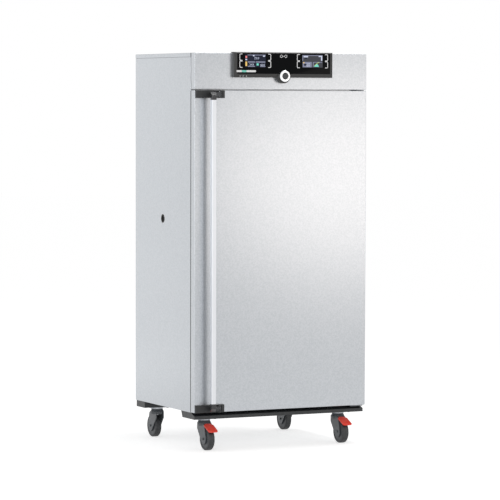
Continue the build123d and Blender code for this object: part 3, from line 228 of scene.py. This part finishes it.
hood_plastic = moulded("grained_abs_black", "#191919", 0.42, light="#202020")
latch_plastic = moulded("glass_filled_nylon_black", "#1C1D1E", 0.5, light="#232425")
lever_plastic = moulded("polished_nylon_black", "#2C2D2F", 0.26, light="#343537")
fan_plastic = moulded("moulded_fan_nylon_black", "#1B1C1D", 0.45, light="#242526")
powder_coat = moulded("powder_coat_black", "#1E2022", 0.4, 2.5, 0.06, "#26282A")
gasket_rubber = moulded("silicone_rubber_black", "#141414", 0.65, 0.8, 0.03, "#1B1B1B")
button_plastic = moulded("soft_touch_button_grey", "#35373A", 0.5, light="#3D3F42")
pedal_plastic = moulded("nylon_pedal_red", "#FF4A3A", 0.36, 0.8, 0.03, "#FF5E50")
tank_plastic = moulded("polypropylene_grey", "#8E9296", 0.5, light="#9A9EA1")
fork_paint = moulded("cathodic_coat_dark_grey", "#4C5054", 0.35, 1.5, 0.03, "#585C60")
ceramic = moulded("alumina_ceramic_white", "#E9E8E3", 0.6, 0.7, 0.02, "#F2F1EC")

# %% [markdown]
# ## Glass
# Two kinds: the black pane of the cockpit, which is dark because it is printed behind, and the
# clear pane of the inner door, which lets the shelves show when the outer door stands open.

# %% Glass
black_glass, tree, shader = start("back_printed_glass_black", "#07080A", 0.0, 0.04)
shader.inputs["Specular IOR Level"].default_value = 0.06
streaks = mottle(tree, place(tree), 60, 2)
tree.links.new(spread(tree, streaks, 0.03, 0.05), shader.inputs["Roughness"])

clear_glass, tree, shader = start("clear_float_glass", "#EAF3F0", 0.0, 0.02, Transmission_Weight=1.0)
shader.inputs["IOR"].default_value = 1.5
haze = mottle(tree, place(tree), 80, 2)
tree.links.new(spread(tree, haze, 0.01, 0.03), shader.inputs["Roughness"])

# %% [markdown]
# ## What is inside
# Mineral wool between the sheets, extruded aluminium for the heat sinks, sintered bronze in the
# hinges, and a green circuit board. They show when a panel is taken off.

# %% Inner finishes
wool, tree, shader = start("mineral_wool", "#B9A46E", 0.0, 0.95)
fibres = mottle(tree, place(tree, (1, 1, 4)), 6, 6, 0.7)
tree.links.new(ramp(tree, fibres, 0.3, 0.7, "#9C8852", "#CDBB86"), shader.inputs["Base Color"])
roughen(tree, shader, fibres, 0.7, 1.5)

sink_aluminium = brushed("extruded_aluminium", "#B4B7BA", "#C8CACC", 0.35, (1, 1, 0.02))
cast_aluminium = textured_stainless("cast_aluminium", "#8F9295", "#A6A9AB", 0.5)
bronze = textured_stainless("sintered_bronze", "#A87F45", "#BC935A", 0.4)

board_green, tree, shader = start("circuit_board_green", "#1C6B3C", 0.0, 0.35)
tracks = add(
    tree, "ShaderNodeTexBrick",
    {"Vector": place(tree), "Scale": 40, "Color1": colour("#1B6A3B"), "Color2": colour("#1F7442"),
     "Mortar": colour("#2F9460"), "Mortar Size": 0.03},
)
tree.links.new(tracks.outputs["Color"], shader.inputs["Base Color"])
print("materials so far:", len(bpy.data.materials))

# %% [markdown]
# ## Caster wheels
# A wheel is two mouldings in one CAD node: a hard grey centre and a soft dark tyre. The mesh stays
# as it is, so the material tells them apart by the distance from the axle.

# %% Wheels
TYRE_INSIDE = 39.05 * MM


def wheel_finish(name, axle):
    """Grey inside the tyre's inner radius, dark rubber outside it."""
    material, tree, shader = start(name, "#2B2C2D", 0.0, 0.5)
    coordinates = add(tree, "ShaderNodeTexCoord")
    split = add(tree, "ShaderNodeSeparateXYZ", {"Vector": coordinates.outputs["Object"]})
    aside = add(tree, "ShaderNodeMath", {0: split.outputs["Y"], 1: axle[1]}, operation="SUBTRACT")
    above = add(tree, "ShaderNodeMath", {0: split.outputs["Z"], 1: axle[2]}, operation="SUBTRACT")
    flat = add(tree, "ShaderNodeCombineXYZ", {"X": aside.outputs[0], "Y": above.outputs[0]})
    reach = add(tree, "ShaderNodeVectorMath", {0: flat.outputs[0]}, operation="LENGTH")
    outside = add(
        tree, "ShaderNodeMath", {0: reach.outputs["Value"], 1: TYRE_INSIDE}, operation="GREATER_THAN"
    )
    tone = mottle(tree, coordinates.outputs["Object"], 9, 3)
    centre = ramp(tree, tone, 0.35, 0.65, "#484B4E", "#505356")
    rubber = ramp(tree, tone, 0.35, 0.65, "#2D2F31", "#353739")
    mixed = add(
        tree, "ShaderNodeMix", {"Factor": outside.outputs[0], 6: centre, 7: rubber}, data_type="RGBA"
    )
    tree.links.new(mixed.outputs[2], shader.inputs["Base Color"])
    roughen(tree, shader, mottle(tree, coordinates.outputs["Object"], 0.8), 0.25, 0.03)
    return material


wheel_materials = {}
for corner in ("fl", "fr", "rl", "rr"):
    low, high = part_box(f"caster_wheel_{corner}")
    wheel_materials[corner] = wheel_finish(f"wheel_{corner}_rubber_on_nylon", (low + high) / 2)

# %% [markdown]
# ## Each node gets its finish
# A CAD node whose shape is right only changes its material.

# %% Assign the finishes
finishes = {
    case_steel: (
        "side_panel_left", "side_panel_right", "top_cover", "fascia", "door_shell", "rear_panel",
        "rear_housing",
    ),
    chamber_steel: (
        "front_frame", "inner_liner", "floor_pan", "air_baffle", "door_inner_panel", "port_liner",
        "chamber_sensors", "circulation_fan", "glass_door_hinges",
    ),
    wire_steel: ("shelves", "fan_guards", "latch_pivot_pins"),
    zinc_dark: ("hinge_brackets",),
    bar_aluminium: ("handle_bar",),
    ring_aluminium: ("control_ring",),
    hood_plastic: ("cockpit_housing", "mains_inlet", "glass_door_catch"),
    latch_plastic: ("latch_housings",),
    lever_plastic: ("latch_levers",),
    button_plastic: ("confirm_button", "power_switch"),
    fan_plastic: ("exhaust_fan_frames", "exhaust_fan_left", "exhaust_fan_right"),
    powder_coat: ("front_beam", "rear_beam"),
    gasket_rubber: ("door_gasket", "port_plug"),
    pedal_plastic: ("brake_pedal_left", "brake_pedal_right"),
    tank_plastic: ("humidifier",),
    black_glass: ("cockpit_glass", "displays"),
    clear_glass: ("glass_pane",),
    wool: ("case_insulation", "door_insulation"),
    sink_aluminium: ("cold_sink", "hot_sink"),
    ceramic: ("thermoelectric_modules",),
    cast_aluminium: ("circulation_motor",),
    galvanised: ("power_supply",),
    board_green: ("controller_board",),
    bronze: ("hinge_bushes",),
    zinc_bright: ("caster_plates",),
    fork_paint: ("caster_fork_fl", "caster_fork_fr", "caster_fork_rl", "caster_fork_rr"),
}
for corner, material in wheel_materials.items():
    finishes[material] = (f"caster_wheel_{corner}",)
for material, names in finishes.items():
    for name in names:
        nodes[name].data.materials.clear()
        nodes[name].data.materials.append(material)
print("nodes with a finish:", sum(len(names) for names in finishes.values()), "of", len(nodes))

# %% [markdown]
# ## Drawing on the front
# The pane's print, the sticker and what the displays show are thin shapes of the front view. Each
# is built from an outline or from a line with a width, in millimetres, and is a closed solid a
# tenth of a millimetre thick. So it can be seen from near by, and it can be taken off.

# %% Thin shapes
def keep_piece(name, mesh, material, body):
    """An object of a finished mesh, dressed, and riding on its body."""
    mesh.materials.clear()
    mesh.materials.append(material)
    piece = bpy.data.objects.new(name, mesh)
    scene.collection.objects.link(piece)
    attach(piece, body)


def closed_mesh(name, made):
    """A mesh from a bmesh, with its faces turned outward."""
    bmesh.ops.recalc_face_normals(made, faces=made.faces)
    mesh = bpy.data.meshes.new(name)
    made.to_mesh(mesh)
    made.free()
    return mesh


def finish_piece(name, made, material, body):
    """A piece straight from a bmesh."""
    keep_piece(name, closed_mesh(name, made), material, body)


def evaluated_mesh(carrier):
    """The mesh that an object comes to once its text or nodes are worked out; the object goes."""
    bpy.context.view_layer.update()
    depsgraph = bpy.context.evaluated_depsgraph_get()
    mesh = bpy.data.meshes.new_from_object(carrier.evaluated_get(depsgraph))
    bpy.data.objects.remove(carrier)
    return mesh


def loops_to_solid(made, loops, closed):
    """Walls between loops of equal length; open loops get a face at either end."""
    rings = [[made.verts.new(Vector(point) * MM) for point in loop] for loop in loops]
    count = len(rings[0])
    for one, two in zip(rings, rings[1:] + rings[:1] if closed else rings[1:]):
        for i in range(count):
            j = (i + 1) % count
            made.faces.new((one[i], one[j], two[j], two[i]))
    if not closed:
        made.faces.new(rings[0])
        made.faces.new(reversed(rings[-1]))


def shape(made, outline, front, back):
    """A flat shape of the front view between two depths."""
    loops = [[(x, y, z) for x, z in outline] for y in (front, back)]
    loops_to_solid(made, loops, closed=False)


def line(made, points, width, front, back, closed=False):
    """A line of the front view with a width; its sections stand across the line."""
    loops = []
    for i, (x, z) in enumerate(points):
        before = points[i - 1] if closed or i else (x, z)
        after = points[(i + 1) % len(points)] if closed or i + 1 < len(points) else (x, z)
        along = Vector((after[0] - before[0], after[1] - before[1])).normalized()
        across = Vector((-along.y, along.x)) * width / 2
        loops.append([
            (x + across.x, front, z + across.y), (x - across.x, front, z - across.y),
            (x - across.x, back, z - across.y), (x + across.x, back, z + across.y),
        ])
    loops_to_solid(made, loops, closed)


def rounded(x, z, radius, steps=5):
    """A rectangle's outline with round corners, from (from, to) in X and in Z."""
    corners = ((x[1], z[1], 0), (x[0], z[1], 90), (x[0], z[0], 180), (x[1], z[0], 270))
    points = []
    for corner_x, corner_z, angle in corners:
        centre_x = corner_x - math.copysign(radius, corner_x - sum(x) / 2)
        centre_z = corner_z - math.copysign(radius, corner_z - sum(z) / 2)
        for i in range(steps):
            at = math.radians(angle + 90 * i / (steps - 1))
            points.append((centre_x + radius * math.cos(at), centre_z + radius * math.sin(at)))
    return points


def circle(x, z, radius, count=32):
    return [
        (x + radius * math.cos(2 * math.pi * i / count), z + radius * math.sin(2 * math.pi * i / count))
        for i in range(count)
    ]


# %% [markdown]
# ## The cockpit's print
# White brackets beside each display show where its touch fields are, two rows on either side, and
# a pair of rings marks the middle. The real print is silk-screened behind the pane.

# %% Print on the pane
def printed(name, code_dark, code_light, roughness=0.5):
    material, tree, shader = start(name, code_dark, 0.0, roughness)
    tone = mottle(tree, place(tree), 2.5, 2)
    tree.links.new(ramp(tree, tone, 0.35, 0.65, code_dark, code_light), shader.inputs["Base Color"])
    return material


GLASS_FRONT = -386.0
PRINT = 0.12
DISPLAY_X = (-137, 137)
BRACKET_REACH = 73.5
BRACKET_ROWS = ((1669.3, 1696), (1639, 1665.7))
BRACKET_ARM = 12.5
BRACKET_LINE = 3.0
RING_Z = 1687.5
RINGS_MIDDLE = -2
RING_REACH = 10.5
RING_RADIUS = 5.4
RING_LINE = 1.8
LABEL_Z = (1618.8, 1627.2)
LABEL_ENDS = ((-225.6, -200.6), (-178.9, -134.3))
LABEL_FIELD = (-200.4, -179.1)

white_ink = printed("screen_print_white", "#E4E5E6", "#F4F4F5")
made = bmesh.new()
for middle in DISPLAY_X:
    for side in (-1, 1):
        for bottom, top in BRACKET_ROWS:
            edge = middle + side * BRACKET_REACH
            tip = edge - side * BRACKET_ARM
            bend = edge - side * 3.5
            line(
                made,
                [(tip, bottom), (bend, bottom), (edge - side, bottom + 1), (edge, bottom + 3.5),
                 (edge, top - 3.5), (edge - side, top - 1), (bend, top), (tip, top)],
                BRACKET_LINE, GLASS_FRONT - PRINT, GLASS_FRONT,
            )
for side in (-1, 1):
    ring = circle(side * RING_REACH + RINGS_MIDDLE, RING_Z, RING_RADIUS)
    line(made, ring, RING_LINE, GLASS_FRONT - PRINT, GLASS_FRONT, closed=True)
bar = rounded((-6.9, 2.9), (1686.6, 1688.4), 0.6)
shape(made, bar, GLASS_FRONT - 2 * PRINT, GLASS_FRONT - PRINT)
finish_piece("cockpit_print", made, white_ink, "cabinet")

made = bmesh.new()
for x in LABEL_ENDS:
    shape(made, rounded(x, LABEL_Z, 1.5), GLASS_FRONT - PRINT, GLASS_FRONT)
finish_piece("cockpit_label", made, white_ink, "cabinet")
made = bmesh.new()
shape(made, rounded(LABEL_FIELD, LABEL_Z, 0.5), GLASS_FRONT - PRINT, GLASS_FRONT)
turquoise_ink = printed("screen_print_turquoise", "#6CC9B8", "#8ADBCB")
finish_piece("cockpit_label_field", made, turquoise_ink, "cabinet")

# %% [markdown]
# ## What the displays show
# Each display is a dark field with tiles, bars and plain numbers. They shine by themselves, so
# their colour is light, not paint, with the faint grid of a liquid-crystal panel in it. Every
# colour is one piece; a table gives the tiles as shares of the display's width and height.

# %% Display pictures
def lit(name, code, strength=1.0):
    """Light of a display, a little uneven from pixel to pixel."""
    material, tree, shader = start(name, "#050506", 0.0, 0.3)
    shader.inputs["Specular IOR Level"].default_value = 0.1
    pixels = add(
        tree, "ShaderNodeTexChecker",
        {"Vector": place(tree), "Scale": 2200, "Color1": colour(code), "Color2": colour("#000000")},
    )
    mixed = add(
        tree, "ShaderNodeMix",
        {"Factor": 0.12, 6: colour(code), 7: pixels.outputs["Color"]}, data_type="RGBA",
    )
    tree.links.new(mixed.outputs[2], shader.inputs["Emission Color"])
    shader.inputs["Emission Strength"].default_value = strength
    return material


DISPLAY_WIDTH = 98
DISPLAY_BOTTOM = 1640.5
DISPLAY_HEIGHT = 53
LEFT_TILES = {
    "night": [(0, 1, 0, 1)],
    "slate": [(0.12, 1, 0.94, 1), (0.14, 0.48, 0.36, 0.46), (0.52, 0.98, 0.36, 0.46),
              (0.14, 0.48, 0.02, 0.1), (0.74, 0.98, 0.02, 0.1)],
    "pink": [(0.02, 0.1, 0.72, 0.9)],
    "ice": [(0.02, 0.1, 0.55, 0.66), (0.38, 0.46, 0.87, 0.96), (0.87, 0.97, 0.84, 0.93)],
    "amber": [(0.02, 0.1, 0.08, 0.44)],
    "mint": [(0.56, 0.66, 0.13, 0.3)],
}
RIGHT_TILES = {
    "graphite": [(0, 1, 0, 1)],
    "slate": [(0, 1, 0.94, 1), (0, 0.04, 0.54, 0.94), (0.02, 0.46, 0.02, 0.45),
              (0.52, 0.56, 0.04, 0.44), (0.56, 0.98, 0.4, 0.45)],
    "ice": [(0.06, 0.28, 0.82, 0.93), (0.8, 0.98, 0.86, 0.94), (0.92, 0.98, 0.56, 0.86)],
    "amber": [(0.04, 0.1, 0.34, 0.43)],
    "night": [(0.1, 0.24, 0.7, 0.78), (0.08, 0.2, 0.14, 0.3)],
}
LIGHTS = {
    "night": "#1D2233", "graphite": "#45464C", "slate": "#8A8DA3", "pink": "#F08C8C",
    "ice": "#D6DDF2", "amber": "#F7CF74", "mint": "#7FE3D2", "lemon": "#DDF07A",
}
lights = {name: lit(f"display_light_{name}", code) for name, code in LIGHTS.items()}


def on_display(middle, u, v):
    return middle + (u - 0.5) * DISPLAY_WIDTH, DISPLAY_BOTTOM + v * DISPLAY_HEIGHT


def tiles(name, middle, table):
    """One piece for each colour in the table, every colour a little nearer to the viewer."""
    for layer, (light, boxes) in enumerate(table.items()):
        made = bmesh.new()
        front = GLASS_FRONT - PRINT * (1 + 0.5 * layer)
        for left, right, bottom, top in boxes:
            x0, z0 = on_display(middle, left, bottom)
            x1, z1 = on_display(middle, right, top)
            shape(made, rounded((x0, x1), (z0, z1), 0.6), front, GLASS_FRONT)
        finish_piece(f"{name}_{light}", made, lights[light], "cabinet")


tiles("display_left", DISPLAY_X[0], LEFT_TILES)
tiles("display_right", DISPLAY_X[1], RIGHT_TILES)

chart = bmesh.new()
area = [(0.58, 0.06), (0.82, 0.06), (0.78, 0.2), (0.7, 0.32), (0.64, 0.22)]
shape(chart, [on_display(DISPLAY_X[1], u, v) for u, v in area], GLASS_FRONT - 4 * PRINT, GLASS_FRONT)
finish_piece("display_chart_area", chart, lights["mint"], "cabinet")
chart = bmesh.new()
curve = [(0.58, 0.12), (0.64, 0.2), (0.7, 0.3), (0.76, 0.38), (0.84, 0.42)]
line(
    chart, [on_display(DISPLAY_X[1], u, v) for u, v in curve], 1.6,
    GLASS_FRONT - 5 * PRINT, GLASS_FRONT - 4 * PRINT,
)
finish_piece("display_chart_line", chart, lights["lemon"], "cabinet")


def number(name, text, x, z, height, front, material, body):
    """Plain figures as a thin solid that faces the front, centred on a place in millimetres."""
    curve = bpy.data.curves.new(name, "FONT")
    curve.body = text
    curve.size = height * 1.4 * MM
    curve.extrude = PRINT / 2 * MM
    curve.align_x = "CENTER"
    curve.align_y = "CENTER"
    flat = bpy.data.objects.new(name, curve)
    scene.collection.objects.link(flat)
    mesh = evaluated_mesh(flat)
    upright = Matrix.Rotation(math.radians(90), 4, "X")
    mesh.transform(Matrix.Translation(Vector((x, front, z)) * MM) @ upright)
    keep_piece(name, mesh, material, body)


figures = [
    ("temperature", "25.0", DISPLAY_X[0] + 6, 1678, 9.5),
    ("set_point", "24.8", DISPLAY_X[0] - 18, 1651, 8.5),
    ("humidity", "60.0", DISPLAY_X[0] + 34, 1650, 8.5),
    ("program_time", "12:00", DISPLAY_X[1] - 22, 1656, 5.5),
    ("program_step", "08:30", DISPLAY_X[1] - 22, 1647, 5.5),
]
for name, text, x, z, height in figures:
    number(
        f"display_{name}", text, x, z, height, GLASS_FRONT - 6 * PRINT, lights["ice"], "cabinet",
    )

# %% [markdown]
# ## Small black and white things
# The power switch carries a white sign with a mark on either side of it, and each latch hub has a
# sunk screw. On the left of the case a soft black strip in the seam behind the door is painted
# shade: it stands in for the shadow inside that seam.

# %% Marks, screws in the hubs and the seam's painted shade strip
SWITCH_FRONT = -385.0
SWITCH_X = -194
SIGN_Z = 1602.3
made = bmesh.new()
line(made, circle(SWITCH_X, SIGN_Z, 1.9, 20), 0.7, SWITCH_FRONT - PRINT, SWITCH_FRONT, closed=True)
stroke = [(SWITCH_X, SIGN_Z + 0.1), (SWITCH_X, 1605)]
line(made, stroke, 0.8, SWITCH_FRONT - 1.5 * PRINT, SWITCH_FRONT)
finish_piece("power_switch_mark", made, white_ink, "power_switch")
made = bmesh.new()
for x in (SWITCH_X - 15, SWITCH_X + 15):
    shape(made, rounded((x - 2.4, x + 2.4), (1601.2, 1603.4), 0.8), GLASS_FRONT - PRINT, GLASS_FRONT)
finish_piece("power_switch_signs", made, white_ink, "cabinet")

black_oxide = textured_stainless("black_oxide_steel", "#1A1B1D", "#26282A", 0.4)


def disc(made, centre, axis, radius, depth, sides=24, inner=0.0):
    """A round or six-sided disc with a chamfered front, or a ring when it has an inner radius."""
    turn = Vector(axis).to_track_quat("Z", "Y").to_matrix()
    levels = [(radius, 0), (radius, depth * 0.7), (radius - depth * 0.3, depth)]
    if inner:
        levels += [(inner, depth), (inner, 0)]
    loops = []
    for reach, rise in levels:
        loop = []
        for i in range(sides):
            at = 2 * math.pi * i / sides
            spoke = Vector((reach * math.cos(at), reach * math.sin(at), rise))
            loop.append(Vector(centre) + turn @ spoke)
        loops.append(loop)
    loops_to_solid(made, loops, closed=bool(inner))


HUB_X = -300
HUB_FRONT = -384.4
HUB_SCREW_RADIUS = 3.6
HUB_SOCKET_RADIUS = 2.0
for name, z in (("upper", 1525), ("lower", 185)):
    made = bmesh.new()
    disc(made, (HUB_X, HUB_FRONT, z), (0, -1, 0), HUB_SCREW_RADIUS, 0.8, 24, HUB_SOCKET_RADIUS)
    disc(made, (HUB_X, HUB_FRONT, z), (0, -1, 0), HUB_SOCKET_RADIUS, 0.2, 6)
    finish_piece(f"latch_hub_screw_{name}", made, black_oxide, "handle")

# Painted shade: this black strip fills the left seam behind the door and stands in for the shadow
# there.
made = bmesh.new()
SEAM_ENDS = (171, 1539)
profile = [
    (-411.5, -323), (-404, -323), (-404, -324.5), (-406.5, -329.3), (-411, -329.3), (-411.5, -328.8),
]
loops_to_solid(made, [[(x, y, z) for x, y in profile] for z in SEAM_ENDS], closed=False)
finish_piece("seam_strip_left", made, gasket_rubber, "cabinet")

# %% [markdown]
# ## Screws
# Sheet metal is held by rows of the same screw. One head is modelled, a low dome with a round
# socket, and a small node tree sets a copy on every point of a list. The copies are then one mesh,
# so the screws of a panel can be taken off together.

# %% One head, many places
HEAD_SIDES = 18
# From the rim over the dome and down into the socket, as shares of the head's radius.
HEAD_PROFILE = [(1.0, 0.0), (1.0, 0.18), (0.9, 0.38), (0.68, 0.52), (0.46, 0.56), (0.44, 0.2)]
steps = [2 * math.pi * i / HEAD_SIDES for i in range(HEAD_SIDES)]
made = bmesh.new()
loops_to_solid(
    made,
    [[Vector((reach * math.cos(at), reach * math.sin(at), rise)) / MM for at in steps]
     for reach, rise in HEAD_PROFILE],
    closed=False,
)
head = bpy.data.objects.new("screw_head", closed_mesh("screw_head", made))
scene.collection.objects.link(head)


def screw_row(name, spots, facing, radius, material, body):
    """Screw heads of a radius in mm, at spots in mm, that face along a direction."""
    tree = bpy.data.node_groups.new(f"{name}_places", "GeometryNodeTree")
    tree.interface.new_socket("Points", in_out="INPUT", socket_type="NodeSocketGeometry")
    size = tree.interface.new_socket("Head radius", in_out="INPUT", socket_type="NodeSocketFloat")
    tree.interface.new_socket("Screws", in_out="OUTPUT", socket_type="NodeSocketGeometry")
    entry = add(tree, "NodeGroupInput")
    one = add(tree, "GeometryNodeObjectInfo", {"Object": head})
    points = add(tree, "GeometryNodeMeshToPoints", {"Mesh": entry.outputs["Points"]})
    turned = Vector(facing).to_track_quat("Z", "Y").to_euler()
    copies = add(
        tree, "GeometryNodeInstanceOnPoints",
        {"Points": points.outputs[0], "Instance": one.outputs["Geometry"], "Rotation": turned,
         "Scale": entry.outputs["Head radius"]},
    )
    real = add(tree, "GeometryNodeRealizeInstances", {"Geometry": copies.outputs[0]})
    dressed = add(tree, "GeometryNodeSetMaterial", {"Geometry": real.outputs[0], "Material": material})
    leave = add(tree, "NodeGroupOutput")
    tree.links.new(dressed.outputs[0], leave.inputs["Screws"])
    places = bpy.data.meshes.new(f"{name}_points")
    places.from_pydata([Vector(spot) * MM for spot in spots], [], [])
    carrier = bpy.data.objects.new(f"{name}_points", places)
    scene.collection.objects.link(carrier)
    modifier = carrier.modifiers.new("screws", "NODES")
    modifier.node_group = tree
    modifier[size.identifier] = radius * MM
    keep_piece(name, evaluated_mesh(carrier), material, body)
    return len(spots)


PANEL_BACK = 256
PANEL_SCREW_RADIUS = 3.5
SIDE_ROWS = (-396, 396)
rear_spots = [(x, PANEL_BACK, z) for x in (-396, -200, 0, 200, 396) for z in (185, 1665)]
rear_spots += [(x, PANEL_BACK, z) for x in SIDE_ROWS for z in (480, 775, 1070, 1367)]
made_screws = screw_row(
    "rear_panel_screws", rear_spots, (0, 1, 0), PANEL_SCREW_RADIUS, zinc_bright, "cabinet",
)
print("screws:", made_screws)
bpy.data.objects.remove(head)

# %% [markdown]
# ## Studio
# The photograph is a cut-out on white with almost no shadow. The floor is a pale diffuse sheet that
# keeps the shadow, and what the camera, a mirror or a pane sees beyond it is white. The world gives
# an even light for everything else. Six soft lamps give the steel its slow gradients. One stands
# where the door would mirror it to the camera, and three where the left side would: for its
# middle, its whole height and its foot. One from above catches the slopes of the latches, and one
# from the front fills the dark things below the door.

# %% Floor, world and lamps
FLOOR_HALF = 30

floor_mesh = bpy.data.meshes.new("floor")
floor_mesh.from_pydata(
    [(-FLOOR_HALF, -FLOOR_HALF, 0), (FLOOR_HALF, -FLOOR_HALF, 0),
     (FLOOR_HALF, FLOOR_HALF, 0), (-FLOOR_HALF, FLOOR_HALF, 0)],
    [], [(0, 1, 2, 3)],
)
floor = bpy.data.objects.new("floor", floor_mesh)
scene.collection.objects.link(floor)


def mix_for_viewers(tree, otherwise, seen_as):
    """One shader for what the camera, a mirror or a pane sees, and another for all other light."""
    seen = add(tree, "ShaderNodeLightPath")
    direct = add(
        tree, "ShaderNodeMath",
        {0: seen.outputs["Is Camera Ray"], 1: seen.outputs["Is Glossy Ray"]}, operation="MAXIMUM",
    )
    viewed = add(
        tree, "ShaderNodeMath",
        {0: direct.outputs[0], 1: seen.outputs["Is Transmission Ray"]}, operation="MAXIMUM",
    )
    mixed = add(tree, "ShaderNodeMixShader", {"Fac": viewed.outputs[0], 1: otherwise, 2: seen_as})
    return mixed.outputs[0]


floor_paper = bpy.data.materials.new("studio_paper_white")
floor_paper.use_nodes = True
tree = floor_paper.node_tree
tree.nodes.clear()
paper = add(tree, "ShaderNodeBsdfDiffuse", {"Color": colour("#D8D8D8")})
glow = add(tree, "ShaderNodeEmission", {"Color": (1, 1, 1, 1), "Strength": 0.62})
both = add(tree, "ShaderNodeAddShader", {0: paper.outputs[0], 1: glow.outputs[0]})
surface = mix_for_viewers(tree, paper.outputs[0], both.outputs[0])
add(tree, "ShaderNodeOutputMaterial", {"Surface": surface})
floor_mesh.materials.append(floor_paper)

world = bpy.data.worlds.new("studio")
scene.world = world
world.use_nodes = True
tree = world.node_tree
tree.nodes.clear()
even = add(tree, "ShaderNodeBackground", {"Color": (1, 1, 1, 1), "Strength": 0.55})
white = add(tree, "ShaderNodeBackground", {"Color": (1, 1, 1, 1), "Strength": 1.0})
surface = mix_for_viewers(tree, even.outputs[0], white.outputs[0])
add(tree, "ShaderNodeOutputWorld", {"Surface": surface})


def soft_lamp(name, shape, at, towards, width, height, brightness, code="#FFFFFF"):
    """A soft box that looks at a point; brightness 1 is as bright as white paper."""
    data = bpy.data.lights.new(name, "AREA")
    data.shape = shape
    data.size = width
    data.size_y = height
    filled = math.pi / 4 if shape in ("DISK", "ELLIPSE") else 1
    data.energy = brightness * math.pi * width * height * filled
    data.color = colour(code)[:3]
    lamp = bpy.data.objects.new(name, data)
    lamp.location = at
    lamp.rotation_euler = (Vector(towards) - Vector(at)).to_track_quat("-Z", "Y").to_euler()
    scene.collection.objects.link(lamp)
    return lamp


WARM = "#FFF4EB"
soft_lamp("door_lamp", "ELLIPSE", (1.48, -2.4, 1.14), (1.48, 0, 1.14), 1.75, 1.1, 1.55, WARM)
soft_lamp("side_low", "RECTANGLE", (-1.8, 3.4, 0.35), (-0.41, 0.2, 0.5), 1.1, 0.6, 0.4)
soft_lamp("side_tall", "RECTANGLE", (-2.45, 5.4, 1.6), (-0.41, 0.25, 1.3), 1.8, 2.2, 0.5)
soft_lamp("top_lamp", "RECTANGLE", (0.93, 0.05, 4.1), (0, 0, 1.6), 1.2, 1.2, 8.0)
soft_lamp("side_foot", "RECTANGLE", (-1.15, 1.75, 0.13), (-0.41, 0, 0.25), 0.7, 0.25, 0.28)
soft_lamp("fill_lamp", "RECTANGLE", (-2.2, -3.4, 1.3), (0, -0.3, 0.3), 1.6, 1.6, 5.0)
print("lamps:", len(bpy.data.lights))
